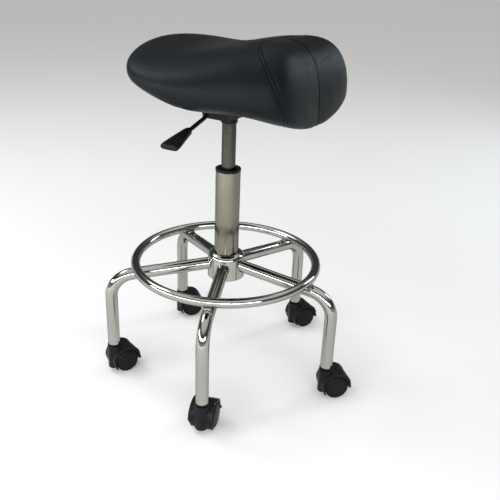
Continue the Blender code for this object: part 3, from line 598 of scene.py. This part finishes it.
def make_arm_welds():
    """The fillet of weld where each arm comes out of the hub's skirt."""
    for number in range(1, LEG_COUNT + 1):
        points, radii = [], []
        for angle in turns(40):
            across = (LEG_RADIUS + FILLET_SINK) * cos(angle)
            up = (LEG_RADIUS + FILLET_SINK) * sin(angle)
            out = sqrt(SKIRT_RADIUS**2 - across**2) - FILLET_SINK
            points.append(leg_place(number) @ Vector((out, across, arm_height(out) + up)))
            radii.append(FILLET_RADIUS * (1 + 0.12 * sin(9 * angle)))
        bead = sweep(points, radii, 10, closed=True)
        new_piece(f"arm_weld_{number}", *bead, CHROME, "base", slot="chrome", sharp=70)


# Column


def turned(name, profile, look, body, nodes, slot, corner=0.0005, segments=96, centre=COLUMN, closed=True):
    shape = lathe(rounded(profile, corner, closed), segments, centre, closed)
    return new_piece(name, *shape, look, body, nodes, slot)


def ring_profile(outer, inner, bottom, top):
    return [(outer, top), (outer, bottom), (inner, bottom), (inner, top)]


def make_column():
    tube = ring_profile(OUTER_TUBE_RADIUS, OUTER_TUBE_BORE, COLUMN_BOTTOM + 0.003, COLUMN_TOP)
    turned("column_tube", tube, COLUMN_CHROME_PAINTED_SHADE, "base", ["outer_tube"], "chrome")
    plate_top = COLUMN_BOTTOM + PLATE_THICKNESS
    foot = [(OUTER_TUBE_BORE - 0.0001, plate_top), (OUTER_TUBE_RADIUS, plate_top)]
    foot += [(OUTER_TUBE_RADIUS, COLUMN_BOTTOM), (PLATE_BORE, COLUMN_BOTTOM), (PLATE_BORE, plate_top)]
    turned("column_foot_plate", foot, STEEL, "base", [], "steel")
    lip = COLUMN_TOP + GAP
    lip_top = lip + BUSHING_LIP
    collar = [(BUSHING_RADIUS - 0.0003, lip_top), (BUSHING_RADIUS, lip_top - 0.0008), (BUSHING_RADIUS, lip)]
    collar += [(BUSHING_SLEEVE, lip), (BUSHING_SLEEVE, BUSHING_BOTTOM), (BUSHING_BORE, BUSHING_BOTTOM)]
    collar += [(BUSHING_BORE, lip + 0.0015), (BUSHING_BORE + 0.0030, lip + 0.0022)]
    collar += [(BUSHING_SLEEVE - 0.0012, lip + 0.0036), (BUSHING_SLEEVE, lip_top)]
    turned("column_collar", collar, BLACK_PLASTIC, "base", ["guide_bushing"], "black_plastic", 0.0006)
    lift = ring_profile(LIFT_RADIUS, LIFT_BORE, LIFT_BOTTOM, LIFT_TOP)
    turned("lift_tube", lift, LIFT_CHROME_PAINTED_SHADE, "seat", ["pressure_tube"], "chrome", 0.0006)
    socket = ring_profile(SOCKET_RADIUS, LIFT_RADIUS + GAP, SOCKET_BOTTOM, SOCKET_TOP)
    turned("lift_socket", socket, BLACK_STEEL, "seat", ["taper_socket"], "black_steel", 0.0012)


# Casters


def hood_mesh():
    """The arched hood with its wheel wells, web and boss, in the caster's own frame."""
    across = Matrix.Rotation(-pi / 2, 4, "X")
    arch_place = Matrix.Translation((TRAIL, 0, WHEEL_RADIUS + HOOD_RISE)) @ across
    well_place = Matrix.Translation((TRAIL, 0, WHEEL_RADIUS)) @ across
    arch = cylinder(HOOD_RADIUS, -HOOD_HALF_WIDTH, HOOD_HALF_WIDTH, 72, arch_place)
    rims = [edge for edge in arch.edges if abs(abs(edge.verts[0].co.y) - HOOD_HALF_WIDTH) < NEAR
            and abs(edge.verts[0].co.y - edge.verts[1].co.y) < NEAR]
    bmesh.ops.bevel(arch, geom=rims, offset=ARCH_ROUNDING, segments=4, affect="EDGES", profile=0.5)
    boss = cylinder(BOSS_RADIUS, BOSS_BOTTOM, BOSS_TOP, 48)
    tops = [edge for edge in boss.edges if min(vert.co.z for vert in edge.verts) > BOSS_TOP - NEAR]
    bmesh.ops.bevel(boss, geom=tops, offset=BOSS_ROUNDING, segments=3, affect="EDGES", profile=0.5)
    cuts = [("UNION", object_of(boss))]
    for low_end, high_end in ((WEB_HALF_WIDTH, WELL_END), (-WELL_END, -WEB_HALF_WIDTH)):
        cuts.append(("DIFFERENCE", object_of(cylinder(WELL_RADIUS, low_end, high_end, 72, well_place))))
    cuts.append(("DIFFERENCE", object_of(cylinder(STEM_BORE, STEM_BOTTOM - GAP, BORE_TOP, 24))))
    below = bmesh.new()
    bmesh.ops.create_cube(below, size=1)
    mouth = Matrix.Translation((TRAIL, 0, HOOD_MOUTH)) @ Matrix.Rotation(HOOD_TILT, 4, "Y")
    below.transform(mouth @ Matrix.Translation((0.015, 0, -0.03)) @ Matrix.Diagonal((0.13, 0.06, 0.06, 1)))
    cuts.append(("DIFFERENCE", object_of(below)))
    axle = cylinder(AXLE_BORE, -AXLE_END, AXLE_END, 20, well_place)
    cuts.append(("DIFFERENCE", object_of(axle)))
    sharp = object_of(cleaned(combined(object_of(arch), cuts), 0.00005))
    mesh = combined(sharp, [], bevel=HOOD_BEVEL)
    smooth = cleaned(mesh, 0.000002)
    smooth.to_mesh(mesh)
    smooth.free()
    return mesh


def wheel_profile():
    """Half a wheel's section, from its outer face: a domed cap, a groove, the rim, the tread and the hub."""
    face = WHEEL_OUTER - WHEEL_INNER
    outer = [(0, face), (0.0070, face - 0.0001), (0.0130, face - 0.0004), (0.0180, face - 0.0009)]
    groove = [(0.0190, face - 0.0010), (0.0193, face - 0.0018)]
    groove += [(0.0202, face - 0.0018), (0.0205, face - 0.0010)]
    rim = [(0.0222, face - 0.0013), (0.0240, face - 0.0025), (0.0248, face - 0.0042)]
    tread = [(WHEEL_RADIUS, 0.0100), (WHEEL_RADIUS, 0.0050), (0.0247, 0.0012), (0.0236, 0.0002), (0.0170, 0)]
    hub = [(0.0165, 0.0030), (0.0070, 0.0030), (0.0066, 0)]
    hub += [(AXLE_BORE, 0), (AXLE_BORE, BORE_DEPTH), (0, BORE_DEPTH)]
    return rounded(outer + groove + rim + tread + hub, 0.0004, closed=False, steps=2)


def make_casters():
    hood = hood_mesh()
    wheel_vertices, wheel_faces = lathe(wheel_profile(), 72, closed=False)
    flange_top = LEG_END - GAP
    flange_bottom = flange_top - FLANGE_THICKNESS
    socket = [(FLANGE_RADIUS, flange_top), (FLANGE_RADIUS, flange_bottom), (STEM_BORE, flange_bottom),
              (STEM_BORE, SLEEVE_TOP), (SLEEVE_RADIUS, SLEEVE_TOP), (SLEEVE_RADIUS, flange_top)]
    stem = [(0, STEM_TOP), (STEM_RADIUS, STEM_TOP), (STEM_RADIUS, STEM_BOTTOM), (0, STEM_BOTTOM)]
    for number in range(1, LEG_COUNT + 1):
        name = f"caster_{number}"
        foot = leg_place(number) @ Vector((LEG_REACH, 0, 0))
        stand = Matrix.Translation(foot) @ Matrix.Rotation(radians(TRAIL_TURNS[number - 1]), 4, "Z")
        shell = hood.copy()
        shell.transform(stand)
        finish_piece(f"{name}_fender", shell, CASTER_PLASTIC, name, [f"{name}_hood"], 32)
        turned(f"{name}_pintle", stem, STEEL, name, [f"{name}_stem"], "steel", 0.0006, 32, foot, closed=False)
        turned(f"{name}_leg_plug", socket, BLACK_PLASTIC, "base", [f"leg_socket_{number}"], "socket_plastic",
               0.0007, 48, foot)
        for side, sign in (("left", 1), ("right", -1)):
            place = stand @ Matrix.Translation((TRAIL, sign * WHEEL_INNER, WHEEL_RADIUS))
            place = place @ Matrix.Rotation(-sign * pi / 2, 4, "X")
            vertices = [place @ Vector(v) for v in wheel_vertices]
            new_piece(f"{name}_roller_{side}", vertices, wheel_faces, WHEEL_PLASTIC, f"{name}_{side}",
                      [f"{name}_wheel_{side}"], "caster_plastic", 30)


# Lever


def on_lever(x, across, z):
    """A point of the lever's side: x out from the column's axis, and across it."""
    turn = Matrix.Rotation(LEVER_TURN, 4, "Z")
    return Matrix.Translation(COLUMN) @ turn @ Vector((x, across, z))


def make_lever_rod():
    straight = [(reach, LEVER_HEIGHT) for reach in (-0.0040, 0.0300, 0.0560)]
    bent = [(0.0680, 0.5870), (0.0780, 0.5805), (0.0900, 0.5745), (0.1100, 0.5695), (0.1360, 0.5630)]
    path = straight + bent + [(0.1600, 0.5570)]
    points = catmull_rom([on_lever(x, 0, z) for x, z in path], 8)
    radii = [LEVER_RADIUS] * len(points)
    radii[0] = radii[-1] = LEVER_RADIUS * 0.85
    new_piece("release_rod", *sweep(points, radii, 24), BLACK_STEEL, "lever", ["lever_rod"], "black_steel")


def superellipse(half_width, half_height, exponent, sides):
    points = []
    for angle in turns(sides):
        c, s = cos(angle), sin(angle)
        x = copysign(abs(c) ** (2 / exponent), c)
        z = copysign(abs(s) ** (2 / exponent), s)
        points.append((x * half_width, z * half_height))
    return points


def make_lever_paddle():
    """A blade that widens from a round collar on the rod, with a shallow dish for the fingers."""
    stations = [
        (0.1402, 0.56178, 0.0052, 0.0052),
        (0.1408, 0.56160, 0.0062, 0.0060),
        (0.1440, 0.56090, 0.0068, 0.0063),
        (0.1520, 0.55920, 0.0085, 0.0063),
        (0.1660, 0.55570, 0.0118, 0.0058),
        (0.1800, 0.55200, 0.0150, 0.0054),
        (0.1920, 0.54870, 0.0172, 0.0052),
        (0.1985, 0.54700, 0.0178, 0.0050),
        (0.2015, 0.54620, 0.0173, 0.0046),
        (0.2026, 0.54600, 0.0158, 0.0036),
    ]
    smooth = catmull_rom([(x, z, width) for x, z, width, _ in stations], 4)
    thickness = [p.x for p in catmull_rom([(t, 0, 0) for _, _, _, t in stations], 4)]
    sides = 48
    vertices, faces = [], []
    for (x, z, width), half in zip(smooth, thickness):
        dish = DISH_DEPTH * exp(-(((x - DISH_REACH) / DISH_LENGTH) ** 2))
        for across, up in superellipse(width, half, 3.6, sides):
            lowered = dish * max(0.0, 1 - (across / (0.8 * width)) ** 2) if up > 0 else 0.0
            vertices.append(on_lever(x, across, z + up - lowered))
    rows = len(smooth)
    for i in range(rows - 1):
        for j in range(sides):
            k = (j + 1) % sides
            faces.append((i * sides + j, (i + 1) * sides + j, (i + 1) * sides + k, i * sides + k))
    faces.append(tuple(range(sides)))
    faces.append(tuple((rows - 1) * sides + j for j in range(sides))[::-1])
    paddle = mesh_of("paddle", vertices, faces)
    finish_piece("release_paddle", paddle, BLACK_PLASTIC, "lever", ["lever_paddle"], 40)


# Saddle


def along(values, place, before, after):
    """A smooth line through evenly spaced values, at places from 0 to 1."""
    line = np.array((before, *values, after))
    scaled = np.clip(place, 0.0, 0.999999) * (len(values) - 1)
    i = scaled.astype(int)
    return between(line[i], line[i + 1], line[i + 2], line[i + 3], scaled - i)


def station(values, x):
    return along(values, (x + 1) / 2, 2 * values[0] - values[1], 2 * values[-1] - values[-2])


def power(value, exponent):
    return np.copysign(np.abs(value) ** exponent, value)


def smoothstep(value):
    value = np.clip(value, 0.0, 1.0)
    return value * value * (3 - 2 * value)


def saddle_points(unit):
    """Where points of the unit sphere, whose -Y is the front, go on the saddle round the column's axis."""
    flat = np.maximum(np.hypot(unit[..., 0], unit[..., 1]), 1e-12)
    turn = np.arctan2(unit[..., 0], -unit[..., 1])
    ahead, across = np.cos(turn), np.sin(turn)
    edge = along(EDGES, np.abs(turn) / np.pi, EDGES[1], EDGES[-2])
    outline = OUTLINE_REAR + (OUTLINE_FRONT - OUTLINE_REAR) * (0.5 + 0.5 * ahead)
    above = unit[..., 2] > 0
    exponent = 2 / np.where(above, edge, BELLY_EDGE)
    spread, rise = flat**exponent, np.abs(unit[..., 2]) ** exponent
    x = spread * power(ahead, 2 / outline)
    side = spread * power(across, 2 / outline)
    rim = station(RIM_HEIGHTS, x) - station(DROOPS, x) * side * side
    point_x = side * station(HALF_WIDTHS, x)
    point_y = -SEAT_AHEAD - x * SEAT_HALF_LENGTH
    top = rim + station(CROWNS, x) * rise
    belly = rim - station(BELLIES, x) * rise
    reach = np.hypot(point_x / BOARD_HALF_X, (point_y + BOARD_AHEAD) / BOARD_HALF_Y)
    inside = smoothstep((CURVE_REACH - reach) / (CURVE_REACH - FLAT_REACH))
    belly = belly + inside * (UNDERSIDE - belly)
    return np.stack([point_x, point_y, np.where(above, top, belly)], axis=-1)


def seam_radius(bearing):
    """The seam ring's angle from the nose's direction, at bearings from its top."""
    away = np.abs((bearing + np.pi) % (2 * np.pi) - np.pi)
    return SEAM_ANGLE + SEAM_DROP * smoothstep((away - SEAM_DROP_START) / SEAM_DROP_SPAN)


def saddle_grid(rows, columns):
    """The saddle's surface on a grid.

    Rows run from 0 at the nose through 1 at the seam to 2 at the far pole. Columns are bearings.
    """
    k, bearing = np.meshgrid(rows, columns, indexing="ij")
    seam = seam_radius(bearing)
    angle = np.where(k < 1, k * seam, seam + (k - 1) * (np.pi - seam))
    nose = np.array((0, -cos(NOSE_TILT), sin(NOSE_TILT)))
    up = np.array((0, sin(NOSE_TILT), cos(NOSE_TILT)))
    side = np.array((1.0, 0, 0))
    turned_up = np.cos(bearing)[..., None] * up + np.sin(bearing)[..., None] * side
    unit = np.cos(angle)[..., None] * nose + np.sin(angle)[..., None] * turned_up
    return saddle_points(unit)


def grid_mesh(points):
    """A closed mesh over a grid whose first and last rows are its two poles."""
    rows, columns = points.shape[:2]
    poles = points[0].mean(axis=0)[None], points[-1].mean(axis=0)[None]
    vertices = np.concatenate([poles[0], points[1:-1].reshape(-1, 3), poles[1]])
    index = np.arange((rows - 2) * columns).reshape(rows - 2, columns) + 1
    turned_index = np.roll(index, -1, axis=1)
    last = len(vertices) - 1
    faces = [(0, int(b), int(a)) for a, b in zip(index[0], turned_index[0])]
    quads = np.stack([index[:-1], turned_index[:-1], turned_index[1:], index[1:]], axis=-1).reshape(-1, 4)
    faces += [tuple(int(i) for i in quad) for quad in quads]
    faces += [(last, int(a), int(b)) for a, b in zip(index[-1], turned_index[-1])]
    return mesh_of("saddle", vertices.tolist(), faces)


def on_grid(mesh, quantity, shape):
    """A grid's field of vectors, from the vertices of a mesh that grid_mesh made."""
    found = np.empty(len(mesh.vertices) * 3, np.float32)
    mesh.vertices.foreach_get(quantity, found)
    found = found.reshape(-1, 3).astype(float)
    field = np.empty(shape)
    field[0], field[-1] = found[0], found[-1]
    field[1:-1] = found[1:-1].reshape(shape[0] - 2, shape[1], 3)
    return field


def grid_normals(points):
    mesh = grid_mesh(points)
    normals = on_grid(mesh, "normal", points.shape)
    bpy.data.meshes.remove(mesh)
    return normals


def simulated_swell(rows, columns):
    """How far cloth blown up over the foam moves from the plain saddle, on a coarse grid.

    It is held down at the seams and round the board.
    """
    base = saddle_grid(rows, columns)
    cover = placed("padding", grid_mesh(base - SHRINK * grid_normals(base)))
    flat = np.hypot(base[..., 0] / BOARD_HALF_X, (base[..., 1] + BOARD_AHEAD) / BOARD_HALF_Y) < CURVE_REACH
    held = flat & (base[..., 2] < UNDERSIDE + 0.02)
    held[np.argmin(np.abs(rows - 1))] = True
    middle = np.isclose(np.abs(np.sin(columns)), 0, atol=1e-6)
    held |= (rows < 1)[:, None] & middle[None, :]
    firm = np.concatenate([[True], held[1:-1].ravel(), [held[-1].any()]])
    group = cover.vertex_groups.new(name="held")
    group.add([int(i) for i in np.nonzero(firm)[0]], 1.0, "REPLACE")
    group.add([int(i) for i in np.nonzero(~firm)[0]], FOAM_HOLD, "REPLACE")
    cloth = cover.modifiers.new("cloth", "CLOTH")
    settings = cloth.settings
    settings.vertex_group_mass = "held"
    settings.use_pressure = True
    settings.uniform_pressure_force = SIM_PRESSURE
    settings.tension_stiffness = settings.compression_stiffness = SIM_TENSION
    settings.bending_stiffness = SIM_BENDING
    settings.effector_weights.gravity = 0
    cloth.point_cache.frame_start, cloth.point_cache.frame_end = 1, SIM_FRAMES
    scene = bpy.context.scene
    for step in range(1, SIM_FRAMES + 1):
        scene.frame_set(step)
    graph = bpy.context.evaluated_depsgraph_get()
    moved = on_grid(cover.evaluated_get(graph).data, "co", base.shape) - base
    bpy.data.objects.remove(cover)
    scene.frame_set(1)
    length = np.linalg.norm(moved, axis=-1, keepdims=True)
    return moved * np.minimum(1, MOST_SWELL / np.maximum(length, 1e-9))


def evened(swell, base):
    """The swell smoothed round the grid's first pole, where the rows crowd together."""
    places, moves = base.reshape(-1, 3), swell.reshape(-1, 3)
    away = np.linalg.norm(places - base[0, 0], axis=1)
    near = np.nonzero(away < 1.3 * POLE_REACH)[0]
    gaps = np.linalg.norm(places[near][:, None] - places[near][None], axis=-1)
    weights = np.exp(-((gaps / POLE_BLUR) ** 2)) * away[near][None, :]
    smooth = weights @ moves[near] / weights.sum(axis=1, keepdims=True)
    share = smoothstep(2 - 2 * away[near] / POLE_REACH)[:, None]
    moves[near] += share * (smooth - moves[near])
    return moves.reshape(swell.shape)


def interpolated(places, known, field):
    """A field along its first axis, from known places to others."""
    lines = field.reshape(len(known), -1).T
    found = np.stack([np.interp(places, known, line) for line in lines], axis=-1)
    return found.reshape(len(places), *field.shape[1:])


def spread_over(field, rows, columns, new_rows, new_columns):
    """A coarse grid's field at a fine grid's places."""
    along_rows = interpolated(new_rows, rows, field)
    closed = np.concatenate([along_rows, along_rows[:, :1]], axis=1).swapaxes(0, 1)
    wrapped = np.append(columns, columns[0] + 2 * np.pi)
    return interpolated(new_columns, wrapped, closed).swapaxes(0, 1)


def fine_rows():
    """Rows close together at the nose, so that its pole doesn't show, and on both sides of the ring seam."""
    pole = (0, 0.0001, 0.0005, 0.0014, 0.003, 0.0055, 0.009, 0.014, 0.022)
    inner = np.linspace(0.033, 0.93, 44)
    near = np.linspace(0.935, 1.0, 21)
    beyond = 1 + np.linspace(0, 0.028, 22)[1:]
    outer = 1.033 + np.linspace(0, 0.967, 92)
    return np.concatenate([pole, inner, near, beyond, outer])


def fine_columns():
    """Columns close together at the middle joint."""
    near = np.linspace(-0.070, 0.070, 29)
    side = np.linspace(0.070, np.pi - 0.070, 72)[1:-1]
    return np.sort(np.concatenate([near, near + np.pi, side, side + np.pi]) % (2 * np.pi))


def pressed(distance, depth, width):
    return -depth * np.exp(-((distance / width) ** 2))


def sewn(points, rows, columns):
    """The padded surface with its seams, and each point's distance from the ring seam.

    The ring has a groove at each of its two rows of stitches. The joint runs down the front panel.
    """
    steps = np.linalg.norm(np.diff(points, axis=0), axis=-1)
    travelled = np.concatenate([np.zeros((1, points.shape[1])), np.cumsum(steps, axis=0)])
    seam_row = int(np.argmin(np.abs(rows - 1)))
    from_ring = travelled - travelled[seam_row]
    lateral = np.abs(points[..., 0])
    inside = smoothstep((-from_ring - 0.0005) / 0.0030)
    normals = grid_normals(points)
    ring = pressed(from_ring, *RING_HOLLOW) - pressed(from_ring, *RING_RIDGE)
    for offset in (-STITCH_OFFSET, STITCH_OFFSET):
        ring += pressed(from_ring - offset, *STITCH_GROOVE)
    joint = inside * (pressed(lateral, *JOINT_HOLLOW) + pressed(lateral, *JOINT_GROOVE))
    bearing = np.broadcast_to(columns[None, :], from_ring.shape)
    gathers = np.sin(46 * bearing + 3 * np.sin(5 * bearing)) * (0.5 + 0.5 * np.sin(7 * bearing + 1.0))
    puckers = pressed(np.abs(from_ring) - PUCKER_OFFSET, -PUCKER_HEIGHT, PUCKER_WIDTH) * gathers
    return points + (ring + joint + puckers)[..., None] * normals, from_ring


def stitch(start, end, normal):
    """One stitch: a short thread that dips at both ends."""
    points, radii = [], []
    for f in (0.0, 0.12, 0.5, 0.88, 1.0):
        lift = THREAD_RADIUS * (0.9 if 0 < f < 1 else -1.2)
        points.append(start.lerp(end, f) + lift * normal)
        radii.append(THREAD_RADIUS * (1.0 if 0 < f < 1 else 0.6))
    return sweep(points, radii, 6)


def stitches_along(line, normals):
    """Stitches at an even pitch along a line of surface points."""
    lengths = np.concatenate([[0], np.cumsum(np.linalg.norm(np.diff(line, axis=0), axis=1))])
    made = []
    for number in range(int(lengths[-1] / STITCH_PITCH)):
        begin = number * STITCH_PITCH
        ends = interpolated((begin, begin + STITCH_LENGTH), lengths, line)
        normal = interpolated((begin + STITCH_LENGTH / 2,), lengths, normals)
        made.append(stitch(Vector(ends[0]), Vector(ends[1]), Vector(normal[0]).normalized()))
    return made


def painted_groove_shade_along(line):
    """A thin dark tube of painted shade along the bottom of a seam's groove."""
    radii = [PAINTED_GROOVE_SHADE_RADIUS] * len(line)
    radii[0] = radii[-1] = PAINTED_GROOVE_SHADE_RADIUS / 3
    return sweep([[float(c) for c in point] for point in line], radii, 8)


def make_seam_lines(points, from_ring, rows, columns):
    """Two rows of stitches round the front panel, and thin dark tubes of painted shade in the grooves where
    they and its middle joint lie.
    """
    normals = grid_normals(points)
    bearings = np.where(columns > np.pi, columns - 2 * np.pi, columns)
    order = np.argsort(bearings)
    order = order[np.abs(bearings[order]) < SEAM_DROP_START + 0.6 * SEAM_DROP_SPAN]
    stitches, painted_groove_shades = [], []
    for offset in (-STITCH_OFFSET, STITCH_OFFSET):
        line = np.array([interpolated((offset,), from_ring[:, j], points[:, j])[0] for j in order])
        facing = np.array([interpolated((offset,), from_ring[:, j], normals[:, j])[0] for j in order])
        stitches += stitches_along(line, facing)
        painted_groove_shades.append(painted_groove_shade_along(line[::2]))
    inner = (rows > 0.05) & (rows < 0.975)
    upper, lower = np.argmin(np.abs(columns)), np.argmin(np.abs(columns - np.pi))
    middle = np.concatenate([points[inner, upper][::-1], points[:1, 0], points[inner, lower]])
    painted_groove_shades.append(painted_groove_shade_along(middle))
    new_piece("seam_stitching", *joined(stitches), THREAD, "seat", slot="vinyl", sharp=60)
    # Dark tubes of painted shade along the seam grooves and the middle joint
    new_piece("seam_painted_groove_shades", *joined(painted_groove_shades), PAINTED_GROOVE_SHADE, "seat", slot="vinyl", sharp=60)


def make_cushion():
    rows, columns = fine_rows(), fine_columns()
    points = saddle_grid(rows, columns)
    inner, outer = np.linspace(1 / 26, 1, 26), np.linspace(1, 2, 53)[1:]
    coarse_rows = np.concatenate([(0, 0.002, 0.012), inner, outer])
    coarse_columns = np.linspace(0, 2 * np.pi, 97)[:-1]
    swell = simulated_swell(coarse_rows, coarse_columns)
    points = points + evened(spread_over(swell, coarse_rows, coarse_columns, rows, columns), points)
    points, from_ring = sewn(points, rows, columns)
    points = points + np.array(COLUMN)
    mesh = grid_mesh(points)
    cushion = finish_piece("saddle_upholstery", mesh, VINYL, "seat", ["seat_cushion"], 180)
    make_seam_lines(points, from_ring, rows, columns)


# CAD nodes that keep their shape


def dress_nodes():
    """A material for each, and a bevel where its width isn't 0."""
    black = {"seat_plate": 0.0008, "lever_bracket": 0.0004}
    steel = {"hub_receiver": 0, "piston_rod": 0, "thrust_bearing": 0.0003, "retaining_clip": 0.0003}
    steel.update({"valve_body": 0, "release_pin": 0, "lever_pivot_pin": 0.0002})
    steel.update({f"seat_bolt_{number}": 0.0003 for number in range(1, 5)})
    steel.update({f"caster_{number}_axle": 0 for number in range(1, LEG_COUNT + 1)})
    rest = (PLYWOOD, {"seat_board": 0.0010}), (RUBBER, {"rubber_bumper": 0.0006})
    for look, widths in ((BLACK_STEEL, black), (STEEL, steel), (BLACK_PLASTIC, {"rod_guide": 0}), *rest):
        for name, width in widths.items():
            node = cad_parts[name]
            node.data.materials.clear()
            node.data.materials.append(look)
            if width:
                edges = node.modifiers.new("soft_edges", "BEVEL")
                edges.width = width
                edges.segments = 2
                edges.limit_method = "ANGLE"
                edges.angle_limit = radians(50)


# Studio


def make_floor():
    corners = [(x * FLOOR_HALF, y * FLOOR_HALF, 0) for x, y in ((-1, -1), (1, -1), (1, 1), (-1, 1))]
    nodes = Nodes("floor", (0.84, 0.83, 0.81), 0.75)
    nodes.set_shader("Specular IOR Level", 0.1)
    floor = placed("floor", mesh_of("floor", corners, [(0, 1, 2, 3)]))
    floor.data.materials.append(nodes.material)


def make_camera():
    """Turned to look down at the stool, and a little clockwise."""
    camera = placed("camera", bpy.data.cameras.new("camera"))
    camera.data.lens, camera.data.sensor_width = CAMERA_LENS, CAMERA_SENSOR
    level = Vector((sin(CAMERA_PAN), cos(CAMERA_PAN), 0))
    forward = level * cos(CAMERA_PITCH) - Vector((0, 0, sin(CAMERA_PITCH)))
    right = Vector((cos(CAMERA_PAN), -sin(CAMERA_PAN), 0))
    up = right.cross(forward)
    rolled_right = right * cos(CAMERA_ROLL) + up * sin(CAMERA_ROLL)
    rolled_up = up * cos(CAMERA_ROLL) - right * sin(CAMERA_ROLL)
    turn = Matrix((rolled_right, rolled_up, -forward)).transposed()
    camera.matrix_world = Matrix.Translation(on_column(*CAMERA_PLACE)) @ turn.to_4x4()
    bpy.context.scene.camera = camera


def area_light(name, place, size, power_watts, colour):
    light = placed(name, bpy.data.lights.new(name, "AREA"))
    light.data.shape = "RECTANGLE"
    light.data.size, light.data.size_y = size
    light.data.energy = power_watts
    light.data.color = colour
    light.location = place
    light.visible_camera = False
    light.rotation_euler = (Vector(LIGHT_TARGET) - Vector(place)).to_track_quat("-Z", "Y").to_euler()


def make_lights():
    """Soft boxes and strips where the photo's highlights point."""
    area_light("rear_box", (-0.35, 2.1, 2.6), (1.3, 0.9), 24, (0.93, 0.96, 1.0))
    area_light("side_box", (2.5, -1.25, 1.5), (0.6, 1.1), 19, (0.80, 0.91, 1.0))
    for number, azimuth in enumerate(STRIP_AZIMUTHS, 1):
        place = (STRIP_AWAY * sin(azimuth), STRIP_AWAY * cos(azimuth), STRIP_HEIGHT)
        area_light(f"strip_{number}", place, STRIP_SIZE, STRIP_POWER, (0.94, 0.97, 1.0))


def make_world():
    """Bright overhead and dim at the horizon, with an even pale backdrop for the camera."""
    world = bpy.data.worlds.new("studio")
    world.use_nodes = True
    tree = world.node_tree
    glow = tree.nodes["Background"]
    direction, parts, ramp, backdrop, seen, chosen = [
        tree.nodes.new(f"ShaderNode{kind}")
        for kind in ("TexCoord", "SeparateXYZ", "ValToRGB", "Background", "LightPath", "MixShader")
    ]
    stops = ramp.color_ramp
    stops.interpolation = "EASE"
    stops.elements[0].position, stops.elements[0].color = 0.0, (0.52, 0.52, 0.52, 1)
    stops.elements[1].position, stops.elements[1].color = 0.85, (1.0, 1.0, 1.0, 1)
    for height, brightness in ((0.16, 0.16), (0.30, 0.07), (0.50, 0.10)):
        stops.elements.new(height).color = (brightness, brightness * 1.03, brightness * 1.08, 1)
    backdrop.inputs["Color"].default_value = (0.80, 0.80, 0.79, 1)
    for source, target in (
        (direction.outputs["Generated"], parts.inputs["Vector"]),
        (parts.outputs["Z"], ramp.inputs["Fac"]),
        (ramp.outputs["Color"], glow.inputs["Color"]),
        (seen.outputs["Is Camera Ray"], chosen.inputs["Fac"]),
        (glow.outputs["Background"], chosen.inputs[1]),
        (backdrop.outputs["Background"], chosen.inputs[2]),
        (chosen.outputs["Shader"], tree.nodes["World Output"].inputs["Surface"]),
    ):
        tree.links.new(source, target)
    bpy.context.scene.world = world
    bpy.context.scene.view_settings.view_transform = "Standard"


def main():
    make_legs()
    make_foot_ring()
    make_ring_welds()
    make_hub_cover()
    make_arm_welds()
    make_column()
    make_casters()
    make_lever_rod()
    make_lever_paddle()
    make_cushion()
    dress_nodes()
    make_floor()
    make_camera()
    make_lights()
    make_world()


main()
